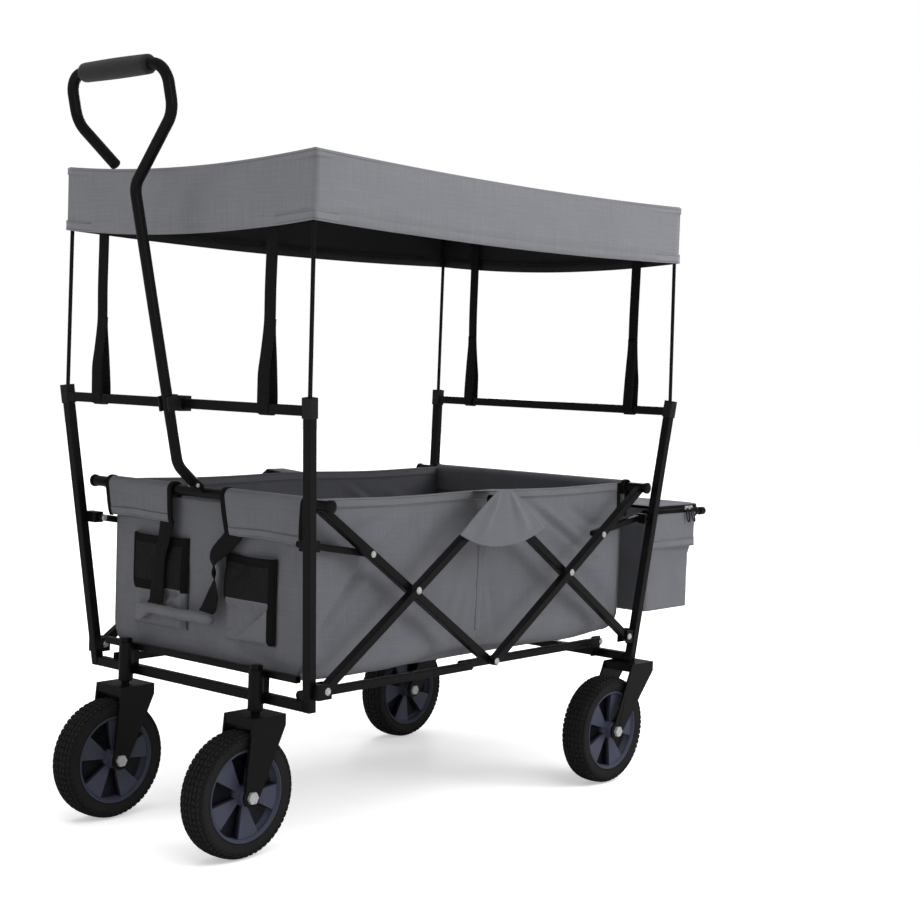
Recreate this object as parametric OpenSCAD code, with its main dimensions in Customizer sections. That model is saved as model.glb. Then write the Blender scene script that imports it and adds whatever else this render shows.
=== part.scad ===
// Folding pull wagon: fabric tub on a scissor frame, with a sun canopy and a tail bag.
// The front, where the pull handle is, points along -X. Left is -Y. The ground is z = 0.

/* [Scissor frame] */
// Distance of each bottom pivot from the middle of the wheelbase
pivot_x = 370; // [366:1:372]
// Height of the bottom pivots
pivot_z = 243; // [242:1:246]
// Height of the pivot where the risers meet
peak_z = 493; // [490:1:495]
// Side of a square scissor bar
bar_w = 13; // [12:0.5:13]
// Middle of the outer layer of scissor bars, from the centre line
outer_y = 246; // [246:0.5:248]
// Middle of the inner layer of scissor bars, from the centre line
inner_y = 232.5; // [232:0.5:232.5]

/* [Posts] */
// Side of a square post or cross bar
post_w = 14; // [13:0.5:14]
// Distance of a post's top from the middle of the wheelbase
post_top_x = 430; // [425:1:435]
// Distance of a post's top from the centre line
post_top_y = 266; // [264:1:268]
// Height of the post tops
post_top_z = 638; // [634:1:640]
// Wall of the square tubes
wall = 1.2; // [1:0.1:1.6]

/* [Wheels] */
// Radius of a wheel over its tread
wheel_r = 90; // [86:1:92]
// Width of a tyre
tyre_w = 46; // [40:1:48]
// Radius where the tyre sits on the hub
rim_r = 66; // [62:1:68]
// Spokes in a hub
spokes = 5; // [4:1:6]

/* [Canopy] */
// Height of the canopy's roof
roof_z = 980; // [940:5:1000]
// Depth of the canopy's hanging edge
valance = 96; // [60:2:110]

/* [Pull handle] */
// Height of the middle of the grip
grip_z = 1086; // [1060:2:1090]
// Half of the loop's width, to the middle of the tube
loop_y = 104; // [90:2:110]
// Radius of the handle tube
handle_r = 8; // [7:0.5:8]

/* [Tub] */
// Half of the fabric tub's width
tub_y = 211; // [205:1:211]
// Height of the tub's underside
tub_bottom = 238; // [238:0.5:240]
// Height of the tub's side hem
tub_top = 505; // [500:1:506]
// Thickness of the tub's fabric
cloth = 3; // [2:0.5:3]

/* [Hidden] */
$fn = 48;

FRONT = -1;
REAR = 1;
LEFT = -1;
RIGHT = 1;

steel = "#151517";
zinc = "#c9cbcd";
plastic = "#1d1d20";
hub_blue = "#3a3c4a";
tyre_black = "#161616";
grey_cloth = "#76777b";
canopy_grey = "#808184";
webbing = "#121214";

// the origin is under the middle of the whole wagon, handle and tail bag included
mid_x = -25;

rivet_r = 3;
fit = 0.05;
riser_len = norm([pivot_x, peak_z - pivot_z]);
cross = [pivot_x / 2, (pivot_z + peak_z) / 2];
top_reach = 234;
fold_angle = atan2(peak_z - pivot_z, pivot_x);
tube_at = [cross.x + top_reach * cos(fold_angle), cross.y + top_reach * sin(fold_angle)];
tube_r = 8;

post_foot = [385, 235.5, 213];
rear_foot_z = 198;
post_head = [post_top_x, post_top_y, post_top_z];
cap_w = 17;
crossbar_z = 630;
rod_r = 3;
rod_top = [429, 262.5, 976];

link_post = [395, 445];
link_reach = 102;
link_bar = [cross.x + link_reach * cos(fold_angle), cross.y + link_reach * sin(fold_angle)];
link_w = 10;
front_link_y = 219.5;
rear_link_y = 231.5;

rail_pivot = [362, 228];
rail_w = 12;
front_rail_y = 196;
rear_rail_y = 182;

lower_bar_x = 385;
front_bar_z = 220;
rear_bar_z = 205;
slim_bar_z = 255;

stem_x = -402;
stem_y = 145;
stem_r = 6.2;
caster_trail = 30;
rear_axle = [315, 232];
fork_inner = 27.2;
fork_outer = 30.5;
axle_r = 5;

shaft_slope = 0.2267;
shaft_lean = atan(shaft_slope);
shaft_x = -452;

arm_at = [412, 447];
arm_y = 220;
arm_r = 5;
bag = [436, 580];
bag_y = 228;
bag_z = [275, 462];

// ---- shared shapes ----

module place() { translate([mid_x, 0, 0]) children(); }

module both_sides() {
  children();
  mirror([0, 1, 0]) children();
}

module rounded_square(w, r = 1.6) {
  square([w - 2 * r, w], center = true);
  square([w, w - 2 * r], center = true);
  for (x = [-1, 1], y = [-1, 1])
    translate([x * (w / 2 - r), y * (w / 2 - r)]) circle(r, $fn = 24);
}

// a hollow square bar along +X from the origin, with round ends about the first and last pivots
module bar(length, w, bores) {
  solid_end = 16;
  difference() {
    union() {
      rotate([90, 0, 90]) linear_extrude(length) rounded_square(w);
      for (x = [0, length]) translate([x, 0, 0]) rotate([90, 0, 0]) cylinder(d = w, h = w - 1, center = true);
    }
    translate([solid_end, wall - w / 2, wall - w / 2])
      cube([length - 2 * solid_end, w - 2 * wall, w - 2 * wall]);
    for (x = bores) translate([x, 0, 0]) rotate([90, 0, 0]) cylinder(r = rivet_r + fit, h = w + 2, center = true);
  }
}

// the bar, turned so that it runs between two points of a side view
module bar_between(p, q, y, w, bores) {
  translate([p.x, y, p.y]) rotate([0, -atan2(q.y - p.y, q.x - p.x), 0])
    bar(norm(q - p), w, bores);
}

// a hollow square tube along Y, as wide as 2 * half
module crossbar(half, w) {
  rotate([90, 0, 0]) linear_extrude(2 * half, center = true) difference() {
    rounded_square(w);
    square(w - 2 * wall, center = true);
  }
}

module rivet(at, y0, y1) {
  head_r = 5.5;
  translate([at.x, y0, at.y]) rotate([-90, 0, 0]) {
    cylinder(r = rivet_r, h = y1 - y0);
    translate([0, 0, y1 - y0]) cylinder(r1 = head_r, r2 = 3.4, h = 2);
    translate([0, 0, -2]) cylinder(r1 = 3.4, r2 = head_r, h = 2);
  }
}

module rod(p, q, r) {
  d = q - p;
  translate(p) rotate([-asin(d.y / norm(d)), atan2(d.x, d.z), 0]) cylinder(r = r, h = norm(d));
}

function side_of(p, end, side) = [end * p.x, side * p.y, p.z];

// everything inside is drawn along a post's own axis, upward from its foot
module along_post(end, side) {
  foot = side_of(post_foot, end, side);
  d = side_of(post_head, end, side) - foot;
  translate(foot) rotate([-asin(d.y / norm(d)), atan2(d.x, d.z), 0]) children();
}

post_len = norm(post_head - post_foot);

module post_solid(end, side, w) {
  along_post(end, side) translate([0, 0, -30]) linear_extrude(post_len + 28) rounded_square(w);
}

module post(end, side, foot_z) {
  color(steel) place() difference() {
    post_solid(end, side, post_w);
    along_post(end, side) translate([0, 0, -31])
      linear_extrude(post_len + 40) square(post_w - 2 * wall, center = true);
    translate([-600, -400, foot_z - 60]) cube([1200, 800, 60]);
  }
}

// ---- frame ends ----

module upper_crossbar(end) {
  color(steel) place() difference() {
    translate([end * post_top_x, 0, crossbar_z]) crossbar(post_top_y - 5, post_w);
    for (s = [LEFT, RIGHT]) along_post(end, s)
      translate([0, 0, post_len - 20]) cube([cap_w + 0.04, cap_w + 0.04, 60], center = true);
  }
}

module post_caps(end) {
  color(plastic) place() for (s = [LEFT, RIGHT]) difference() {
    along_post(end, s) difference() {
      translate([0, 0, post_len - 18]) linear_extrude(28) rounded_square(cap_w, 2.5);
      translate([0, 0, post_len - 19]) linear_extrude(17) square(post_w + 0.04, center = true);
    }
    rod(side_of(post_head, end, s), side_of(rod_top, end, s), rod_r + fit);
  }
}

module canopy_rods(end) {
  color(steel) place() for (s = [LEFT, RIGHT])
    rod(side_of(post_head, end, s), side_of(rod_top, end, s), rod_r);
}

module canopy_straps(end) {
  strap_w = 20;
  strap_t = 1.6;
  strap_y = 185;
  hold = post_w / 2 + 0.1;
  color(webbing) place() both_sides() translate([end * post_top_x, strap_y - strap_w / 2, 0]) {
    translate([-strap_t / 2, 0, crossbar_z + hold + strap_t])
      cube([strap_t, strap_w, roof_z - 2.2 - crossbar_z - hold - strap_t]);
    translate([0, 0, crossbar_z]) difference() {
      translate([-hold - strap_t, 0, -hold - strap_t]) cube([2 * hold + 2 * strap_t, strap_w, 2 * hold + 2 * strap_t]);
      translate([-hold, -1, -hold]) cube([2 * hold, strap_w + 2, 2 * hold]);
    }
  }
}

// a clevis for the riser's foot, a plate for the link and a plate for the floor rail, on each side
module brackets(end, bar_y, link_y, rail_y, rail_side, bar_z) {
  color(steel) place() both_sides() {
    difference() {
      union() {
        for (y = [bar_y - 10, bar_y + 7])
          mirror([end < 0 ? 1 : 0, 0, 0]) translate([pivot_x - 8, y, pivot_z - 11]) cube([26, 3, 22]);
        mirror([end < 0 ? 1 : 0, 0, 0]) translate([pivot_x + 8, bar_y - 10, pivot_z - 11]) cube([10, 20, 22]);
      }
      post_solid(end, RIGHT, post_w + 0.04);
      translate([end * pivot_x, bar_y, pivot_z]) rotate([90, 0, 0]) cylinder(r = rivet_r + fit, h = 40, center = true);
    }
    difference() {
      mirror([end < 0 ? 1 : 0, 0, 0])
        translate([link_post.x - 6, link_y + 6, link_post.y - 8]) cube([15, 252 - link_y - 6, 16]);
      post_solid(end, RIGHT, post_w + 0.04);
      translate([end * link_post.x, link_y, link_post.y]) rotate([90, 0, 0])
        cylinder(r = rivet_r + fit, h = 60, center = true);
    }
    difference() {
      translate([0, rail_y + rail_side * (rail_w / 2 + 2.5) - 2, 0]) mirror([end < 0 ? 1 : 0, 0, 0])
        translate([rail_pivot.x - 6, 0, bar_z - 4]) cube([lower_bar_x - post_w / 2 - rail_pivot.x + 6, 4, rail_pivot.y + 7 - bar_z + 4]);
      translate([end * rail_pivot.x, rail_y, rail_pivot.y]) rotate([90, 0, 0])
        cylinder(r = rivet_r + fit, h = 40, center = true);
    }
  }
}

module frame_rivets(end, bar_y, link_y, rail_y, rail_side) {
  color(zinc) place() both_sides() {
    rivet([end * pivot_x, pivot_z], bar_y - 10, bar_y + 10);
    translate([end * link_post.x, link_y - 6, link_post.y]) rotate([-90, 0, 0]) {
      cylinder(r = rivet_r, h = 18);
      translate([0, 0, -1.5]) cylinder(r1 = 3.4, r2 = 5, h = 2);
    }
    translate([end * rail_pivot.x, rail_y, rail_pivot.y]) rotate([-90 * rail_side, 0, 0]) {
      translate([0, 0, -rail_w / 2 - 0.5]) cylinder(r = rivet_r, h = rail_w + 5);
      translate([0, 0, -rail_w / 2 - 2]) cylinder(r1 = 3.4, r2 = 5, h = 1.5);
      translate([0, 0, rail_w / 2 + 4.5]) cylinder(r1 = 5, r2 = 3.4, h = 1.5);
    }
  }
}

module rear_lower_crossbar() {
  color(steel) place() translate([lower_bar_x, 0, rear_bar_z]) crossbar(227.5, post_w);
}

module front_lower_crossbar() {
  color(steel) place() translate([-lower_bar_x, 0, front_bar_z]) crossbar(228, post_w);
}

module front_slim_crossbar() {
  slim = 10;
  color(steel) place() {
    translate([-lower_bar_x, 0, slim_bar_z]) crossbar(212, slim);
    both_sides() translate([-lower_bar_x, stem_y, front_bar_z + post_w / 2])
      linear_extrude(slim_bar_z - slim / 2 - front_bar_z - post_w / 2 + 0.5) square(slim - 1, center = true);
  }
}

module caster_housings() {
  housing_r = 11;
  color(steel) place() both_sides() difference() {
    union() {
      translate([stem_x, stem_y, 204]) cylinder(r = housing_r, h = 58);
      translate([stem_x, stem_y - 8, 213]) cube([-lower_bar_x - post_w / 2 - stem_x, 16, 46]);
    }
    translate([stem_x, stem_y, 203]) cylinder(r = stem_r + fit, h = 60);
    translate([-lower_bar_x - post_w / 2, stem_y - 20, 203]) cube([20, 40, 60]);
  }
}

function shaft_point(z, y = 0) = [shaft_x - shaft_slope * (z - crossbar_z), y, z];

module handle_clip() {
  jaw = handle_r + 0.1;
  color(plastic) place() difference() {
    union() {
      translate([-post_top_x - 11, -12, crossbar_z - 11]) cube([22, 24, 22]);
      translate(shaft_point(crossbar_z)) rotate([0, -shaft_lean, 0])
        translate([-9, -jaw - 3.4, -11]) cube([20, 2 * jaw + 6.8, 22]);
    }
    translate([-post_top_x, 0, crossbar_z]) cube([post_w + 0.04, 30, post_w + 0.04], center = true);
    translate(shaft_point(crossbar_z)) rotate([0, -shaft_lean, 0]) {
      cylinder(r = jaw, h = 40, center = true);
      translate([-20, -jaw, -20]) cube([20, 2 * jaw, 40]);
    }
  }
}

// ---- forks and wheels ----

// a fork standing over its axle: crown about x = 0, axle at x = -reach
module fork(reach, top, stem) {
  difference() {
    union() {
      translate([-31, -fork_outer, top - 13]) cube([62, 2 * fork_outer, 13]);
      for (y = [-fork_outer, fork_inner]) translate([0, y, 0]) rotate([90, 0, 0]) mirror([0, 0, 1])
        linear_extrude(fork_outer - fork_inner) {
          polygon([[-31, top], [31, top], [31, top - 16], [-reach + 12, wheel_r - 8], [-reach - 13, wheel_r - 4]]);
          translate([-reach, wheel_r]) circle(14);
        }
      if (stem) {
        translate([0, 0, top - 1]) cylinder(r = stem_r, h = 70);
        translate([0, 0, 262.4]) cylinder(r = 9.5, h = 6, $fn = 6);
      }
    }
    translate([-reach, 0, wheel_r]) rotate([90, 0, 0]) cylinder(r = axle_r + fit, h = 80, center = true);
  }
}

module front_fork(side) {
  color(steel) place() translate([stem_x, side * stem_y, 0]) fork(caster_trail, 200, true);
}

module rear_forks() {
  color(steel) place() both_sides() translate([lower_bar_x, rear_axle.y, 0])
    fork(lower_bar_x - rear_axle.x, 198, false);
}

module axle_bolt() {
  rotate([90, 0, 0]) {
    cylinder(r = axle_r, h = 2 * fork_outer + 4, center = true);
    for (s = [0, 1]) mirror([0, 0, s]) translate([0, 0, fork_outer]) cylinder(r = 9, h = 5, $fn = 6);
  }
}

module rear_axle_bolts() {
  color(zinc) place() both_sides() translate([rear_axle.x, rear_axle.y, wheel_r]) axle_bolt();
}

module front_axle_bolt(side) {
  color(zinc) place() translate([stem_x - caster_trail, side * stem_y, wheel_r]) axle_bolt();
}

module hub() {
  boss = 14;
  difference() {
    union() {
      rotate([90, 0, 0]) rotate_extrude($fn = 96)
        polygon([[axle_r + 0.06, -26.5], [boss, -26.5], [boss, -4], [rim_r - 6, -4], [rim_r - 6, -18],
          [rim_r, -20], [rim_r, 20], [rim_r - 6, 18], [rim_r - 6, 4], [boss, 4], [boss, 26.5], [axle_r + 0.06, 26.5]]);
      for (k = [0 : spokes - 1]) rotate([0, 90 + k * 360 / spokes, 0]) rotate([90, 0, 0])
        linear_extrude(32, center = true)
          polygon([[boss - 3, -5], [boss - 3, 5], [rim_r - 6.5, 19], [rim_r - 5, 8], [rim_r - 5, -8], [rim_r - 6.5, -19]]);
    }
  }
}

module tyre() {
  h = tyre_w / 2;
  rotate([90, 0, 0]) rotate_extrude($fn = 96)
    polygon([[rim_r, -h + 4], [rim_r + 6, -h], [wheel_r - 6, -h], [wheel_r, -h + 6],
      [wheel_r, h - 6], [wheel_r - 6, h], [rim_r + 6, h], [rim_r, h - 4]]);
}

module at_rear_wheel(side) { place() translate([rear_axle.x, side * rear_axle.y, wheel_r]) children(); }
module at_front_wheel(side) { place() translate([stem_x - caster_trail, side * stem_y, wheel_r]) children(); }

module rear_hub(side) { color(hub_blue) at_rear_wheel(side) hub(); }
module rear_tyre(side) { color(tyre_black) at_rear_wheel(side) tyre(); }
module front_hub(side) { color(hub_blue) at_front_wheel(side) hub(); }
module front_tyre(side) { color(tyre_black) at_front_wheel(side) tyre(); }

// ---- scissors ----

module risers(end, y) {
  color(steel) place() both_sides()
    bar_between([end * pivot_x, pivot_z], [0, peak_z], y, bar_w, [0, riser_len / 2, riser_len]);
}

module braces(end, y) {
  color(steel) place() difference() {
    both_sides() bar_between([0, pivot_z], [end * tube_at.x, tube_at.y], y, bar_w, [0, riser_len / 2]);
    translate([end * tube_at.x, 0, tube_at.y]) rotate([90, 0, 0]) cylinder(r = tube_r + 0.02, h = 540, center = true);
  }
}

module top_tube(end) {
  half = 258;
  color(steel) place() translate([end * tube_at.x, 0, tube_at.y]) rotate([90, 0, 0]) {
    difference() {
      cylinder(r = tube_r, h = 2 * half, center = true);
      cylinder(r = tube_r - wall, h = 2 * half + 2, center = true);
    }
    for (s = [0, 1]) mirror([0, 0, s]) translate([0, 0, half]) {
      cylinder(r = tube_r + 1.5, h = 4);
      translate([0, 0, 4]) cylinder(r1 = tube_r + 1.5, r2 = tube_r - 2, h = 2);
    }
  }
}

module front_riser_rivets() {
  color(zinc) place() both_sides() rivet([-cross.x, cross.y], inner_y - bar_w / 2 - 0.3, outer_y + bar_w / 2 + 0.3);
}

module rear_riser_rivets() {
  color(zinc) place() both_sides() for (at = [cross, [0, peak_z]])
    rivet(at, inner_y - bar_w / 2 - 0.3, outer_y + bar_w / 2 + 0.3);
}

module rear_brace_rivets() {
  color(zinc) place() both_sides() rivet([0, pivot_z], inner_y - bar_w / 2 - 0.3, outer_y + bar_w / 2 + 0.3);
}

module links(end, y) {
  color(steel) place() both_sides()
    bar_between([end * link_post.x, link_post.y], [end * link_bar.x, link_bar.y], y, link_w, [0]);
}

module floor_rails(end, y) {
  color(steel) place() both_sides()
    bar_between([end * rail_pivot.x, rail_pivot.y], [0, rail_pivot.y], y, rail_w, [0]);
}

// ---- tub ----

module round_bottomed(half, bottom, top, r) {
  translate([-half, bottom + r]) square([2 * half, top - bottom - r]);
  translate([-half + r, bottom]) square([2 * half - 2 * r, r + 1]);
  for (s = [-1, 1]) translate([s * (half - r), bottom + r]) circle(r);
}

module basket_cloth() {
  corner_r = 40;
  color(grey_cloth) place() {
    rotate([90, 0, 90]) linear_extrude(2 * (tube_at.x - 8.1), center = true) difference() {
      round_bottomed(tub_y, tub_bottom, tub_top, corner_r);
      round_bottomed(tub_y - cloth, tub_bottom + cloth, tub_top + 1, corner_r - cloth);
    }
    both_sides() {
      translate([-18, tub_y - cloth, tub_top]) cube([36, 258 - tub_y + cloth, 2]);
      translate([0, 258, 0]) rotate([90, 0, 0]) linear_extrude(2)
        polygon([[-18, 507], [18, 507], [106, 446], [104, 436], [0, 413], [-104, 436], [-106, 446]]);
    }
  }
}

// an end wall of the tub, hung from its top tube by the sleeves that run between the given sides
module end_panel(end, sleeves, gap) {
  sleeve_r = 10.6;
  color(grey_cloth) place() difference() {
    union() {
      translate([end * (tube_at.x - 6.5), 0, 0]) rotate([90, 0, 90]) linear_extrude(cloth, center = true)
        difference() {
          round_bottomed(tub_y, tub_bottom, tube_at.y - 7, 40);
          if (gap[1] > gap[0]) translate([gap[0], tube_at.y - 12]) square([gap[1] - gap[0], 20]);
        }
      for (s = sleeves) translate([end * tube_at.x, s[0], tube_at.y]) rotate([-90, 0, 0])
        cylinder(r = sleeve_r, h = s[1] - s[0]);
    }
    translate([end * tube_at.x, 0, tube_at.y]) rotate([90, 0, 0]) cylinder(r = tube_r + 0.4, h = 500, center = true);
  }
}

// the sleeves stop just short of the side cloth
sleeve_y = tub_y - cloth - 0.5;

module front_panel() { end_panel(FRONT, [[-sleeve_y, -48], [64, sleeve_y]], [-48, 64]); }
module rear_panel() { end_panel(REAR, [[-sleeve_y, sleeve_y]], [0, 0]); }

panel_face = -(tube_at.x - 6.5) - cloth / 2;
pocket_deep = 11;

module pocket(y0, y1, top) {
  bottom = 290;
  skin = 1.6;
  difference() {
    translate([panel_face - pocket_deep, y0, bottom]) cube([pocket_deep - 0.05, y1 - y0, top - bottom]);
    translate([panel_face - pocket_deep + skin, y0 + skin, bottom + skin])
      cube([pocket_deep, y1 - y0 - 2 * skin, top - bottom]);
  }
}

module front_pockets() {
  color(grey_cloth) place() {
    pocket(36, 160, 428);
    pocket(-154, -46, 416);
  }
}

module carry_bar() {
  bar_r = 9;
  bar_z = 318;
  strap_w = 22;
  strap_t = 1.6;
  front = panel_face - pocket_deep - strap_t;
  // each strap's top and foot, across and up
  straps = [[[75, 448], [92, 318]], [[-76, 442], [-28, 318]]];
  color(webbing) place() {
    translate([front - bar_r + 1, -38, bar_z]) rotate([-90, 0, 0]) cylinder(r = bar_r, h = 166);
    for (s = straps) {
      d = s[1] - s[0];
      translate([front, s[0].x, s[0].y]) rotate([atan2(d.x, -d.y), 0, 0]) {
        translate([0, -strap_w / 2, -norm(d)]) cube([strap_t, strap_w, norm(d)]);
        translate([0, -strap_w / 2, -10]) cube([pocket_deep + strap_t - 0.05, strap_w, 12]);
      }
    }
  }
}

// ---- pull handle ----

function unit(v) = v / norm(v);

// the points of an arc that rounds the corner b of the path a-b-c
function corner_arc(a, b, c, r, steps = 6) =
  let (u = unit(a - b), w = unit(c - b), half = acos(u * w) / 2, turn = 180 - 2 * half,
       middle = b + unit(u + w) * r / sin(half), from = b + u * r / tan(half) - middle,
       to = b + w * r / tan(half) - middle)
  [for (k = [0 : steps]) middle
    + (from * sin(turn * (1 - k / steps)) + to * sin(turn * k / steps)) / sin(turn)];

function rounded_path(corners, radii) = concat([corners[0]],
  [for (i = [1 : len(corners) - 2]) each corner_arc(corners[i - 1], corners[i], corners[i + 1], radii[i - 1])],
  [corners[len(corners) - 1]]);

// a round tube swept along a path; no stretch of the path may run along flat
module swept(path, r, flat, sides = 16) {
  n = len(path);
  rings = [for (i = [0 : n - 1])
    let (t = unit(path[min(i + 1, n - 1)] - path[max(i - 1, 0)]), u = unit(cross(t, flat)), v = cross(t, u))
    for (k = [0 : sides - 1]) path[i] + r * (cos(360 * k / sides) * u + sin(360 * k / sides) * v)];
  polyhedron(rings, concat(
    [[for (k = [0 : sides - 1]) k]],
    [for (i = [0 : n - 2], k = [0 : sides - 1]) let (m = (k + 1) % sides)
      [i * sides + k, (i + 1) * sides + k, (i + 1) * sides + m, i * sides + m]],
    [[for (k = [sides - 1 : -1 : 0]) (n - 1) * sides + k]]), convexity = 6);
}

yoke_top = shaft_point(536);
loop_foot = 930;
loop_side = 1022;
tip_y = 34;

module handle_tube() {
  tip_z = loop_foot + (loop_side - loop_foot) * tip_y / loop_y;
  corners = [yoke_top + 32 * unit([-tube_at.x, 0, tube_at.y] - yoke_top), yoke_top,
    shaft_point(loop_foot), shaft_point(loop_side, -loop_y), shaft_point(grip_z, -loop_y),
    shaft_point(grip_z, loop_y), shaft_point(loop_side, loop_y), shaft_point(tip_z, tip_y)];
  color(steel) place()
    swept(rounded_path(corners, [22, 24, 34, 26, 26, 34]), handle_r, [cos(shaft_lean), 0, sin(shaft_lean)]);
}

module handle_grip() {
  grip_half = 72;
  color(plastic) place() translate(shaft_point(grip_z)) rotate([90, 0, 0]) difference() {
    cylinder(r = 14, h = 2 * grip_half, center = true);
    cylinder(r = handle_r + 0.1, h = 2 * grip_half + 2, center = true);
  }
}

// the flattened end that bears on the top tube
module handle_yoke() {
  hinge = [-tube_at.x, 0, tube_at.y];
  back = yoke_top - hinge;
  color(steel) place() difference() {
    translate(hinge) rotate([0, -atan2(back.z, back.x), 0]) translate([0, -8, -4.6]) cube([norm(back) - 32, 16, 9.2]);
    translate([hinge.x - tube_r - 0.6, -10, hinge.z - 40]) cube([60, 20, 80]);
    translate(hinge) rotate([90, 0, 0]) cylinder(r = tube_r + 0.4, h = 30, center = true);
  }
}

// ---- canopy and tail bag ----

module canopy() {
  skin = 2;
  half = [436.5, 269];
  color(canopy_grey) place() difference() {
    translate([-half.x, -half.y, roof_z - valance]) cube([2 * half.x, 2 * half.y, valance]);
    translate([-half.x + skin, -half.y + skin, roof_z - valance - 1])
      cube([2 * (half.x - skin), 2 * (half.y - skin), valance + 1 - skin]);
  }
}

module arm_holes() {
  both_sides() translate([bag[0] - 20, arm_y, arm_at.y]) rotate([0, 90, 0]) cylinder(r = arm_r + 0.4, h = 250);
}

module rear_bag() {
  skin = 2;
  color(grey_cloth) place() difference() {
    translate([bag[0], -bag_y, bag_z[0]]) cube([bag[1] - bag[0], 2 * bag_y, bag_z[1] - bag_z[0]]);
    translate([bag[0] + skin, -bag_y + skin, bag_z[0] + skin])
      cube([bag[1] - bag[0] - 2 * skin, 2 * (bag_y - skin), bag_z[1] - bag_z[0]]);
    arm_holes();
  }
}

module bag_lid() {
  skin = 2;
  drop = 78;
  gap = 0.4;
  color(grey_cloth) place() difference() {
    translate([bag[0], -bag_y - gap - skin, bag_z[1] + gap - drop])
      cube([bag[1] - bag[0] + gap + skin, 2 * (bag_y + gap + skin), drop + skin]);
    translate([bag[0] - 1, -bag_y - gap, bag_z[1] + gap - drop - 1])
      cube([bag[1] - bag[0] + gap + 1, 2 * (bag_y + gap), drop + 1]);
    arm_holes();
  }
}

module bag_arms() {
  reach = 195;
  color(steel) place() both_sides() translate([arm_at.x, arm_y, arm_at.y]) {
    rotate([0, 90, 0]) cylinder(r = arm_r, h = reach);
    sphere(arm_r);
    rotate([-90, 0, 0]) cylinder(r = arm_r, h = 24);
    translate([reach, 0, 0]) rotate([0, 90, 0]) cylinder(r = 7, h = 13);
  }
}

post(REAR, LEFT, rear_foot_z);  // rear_post_left
post(REAR, RIGHT, rear_foot_z);  // rear_post_right
rear_lower_crossbar();
upper_crossbar(REAR);  // rear_upper_crossbar
post_caps(REAR);  // rear_post_caps
brackets(REAR, inner_y, rear_link_y, rear_rail_y, -1, rear_bar_z);  // rear_brackets
rear_forks();
rear_axle_bolts();
frame_rivets(REAR, inner_y, rear_link_y, rear_rail_y, -1);  // rear_rivets
canopy_rods(REAR);  // rear_canopy_rods
canopy_straps(REAR);  // rear_canopy_straps
canopy();
rear_bag();
bag_lid();
bag_arms();
rear_hub(LEFT);  // rear_hub_left
rear_tyre(LEFT);  // rear_tyre_left
rear_hub(RIGHT);  // rear_hub_right
rear_tyre(RIGHT);  // rear_tyre_right
post(FRONT, LEFT, post_foot.z);  // front_post_left
post(FRONT, RIGHT, post_foot.z);  // front_post_right
front_lower_crossbar();
front_slim_crossbar();
upper_crossbar(FRONT);  // front_upper_crossbar
post_caps(FRONT);  // front_post_caps
brackets(FRONT, outer_y, front_link_y, front_rail_y, 1, front_bar_z);  // front_brackets
caster_housings();
handle_clip();
frame_rivets(FRONT, outer_y, front_link_y, front_rail_y, 1);  // front_rivets
canopy_rods(FRONT);  // front_canopy_rods
canopy_straps(FRONT);  // front_canopy_straps
front_fork(LEFT);  // front_fork_left
front_axle_bolt(LEFT);  // front_axle_bolt_left
front_fork(RIGHT);  // front_fork_right
front_axle_bolt(RIGHT);  // front_axle_bolt_right
front_hub(LEFT);  // front_hub_left
front_tyre(LEFT);  // front_tyre_left
front_hub(RIGHT);  // front_hub_right
front_tyre(RIGHT);  // front_tyre_right
risers(FRONT, outer_y);  // front_risers
risers(REAR, inner_y);  // rear_risers
braces(FRONT, inner_y);  // front_braces
braces(REAR, outer_y);  // rear_braces
top_tube(FRONT);  // front_top_tube
top_tube(REAR);  // rear_top_tube
front_riser_rivets();
rear_riser_rivets();
rear_brace_rivets();
links(FRONT, front_link_y);  // front_links
links(REAR, rear_link_y);  // rear_links
floor_rails(FRONT, front_rail_y);  // front_floor_rails
floor_rails(REAR, rear_rail_y);  // rear_floor_rails
basket_cloth();
front_panel();
rear_panel();
front_pockets();
carry_bar();
handle_tube();
handle_grip();
handle_yoke();
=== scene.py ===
# %% [markdown]
# # A folding pull wagon with a canopy
#
# The real wagon is a scissor frame of black steel bars between two end frames of square tube. A tub of
# coated polyester hangs from two cross tubes, a roof of the same cloth sits on four thin rods, and the whole
# thing folds to a fifth of its length. The frame arrives ready made in model.glb, so this lesson never moves
# it. What is made here is what a drawing of pivots can't hold: cloth that hangs, tyres with a tread, a handle
# bent from one tube, and the finishes.

# %% Load the imported frame
import math

import bmesh
import bpy
from mathutils import Matrix, Vector, noise


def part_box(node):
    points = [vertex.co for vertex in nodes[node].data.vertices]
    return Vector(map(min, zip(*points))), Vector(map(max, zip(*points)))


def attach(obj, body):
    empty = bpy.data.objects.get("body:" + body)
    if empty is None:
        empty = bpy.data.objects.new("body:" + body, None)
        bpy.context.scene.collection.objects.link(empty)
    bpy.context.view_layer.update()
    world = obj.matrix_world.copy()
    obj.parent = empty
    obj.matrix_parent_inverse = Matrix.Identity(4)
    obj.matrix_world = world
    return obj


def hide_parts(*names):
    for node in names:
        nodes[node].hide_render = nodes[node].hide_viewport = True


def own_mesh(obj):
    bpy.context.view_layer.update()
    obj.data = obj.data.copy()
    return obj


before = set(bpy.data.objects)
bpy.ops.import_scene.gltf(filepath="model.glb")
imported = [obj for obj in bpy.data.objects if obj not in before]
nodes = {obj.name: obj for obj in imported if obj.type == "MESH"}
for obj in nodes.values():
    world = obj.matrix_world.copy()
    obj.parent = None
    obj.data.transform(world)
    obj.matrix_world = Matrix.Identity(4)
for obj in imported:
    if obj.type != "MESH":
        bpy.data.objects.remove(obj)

for start_up in ("Cube", "Light", "Camera"):
    if start_up in bpy.data.objects:
        bpy.data.objects.remove(bpy.data.objects[start_up])
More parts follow.
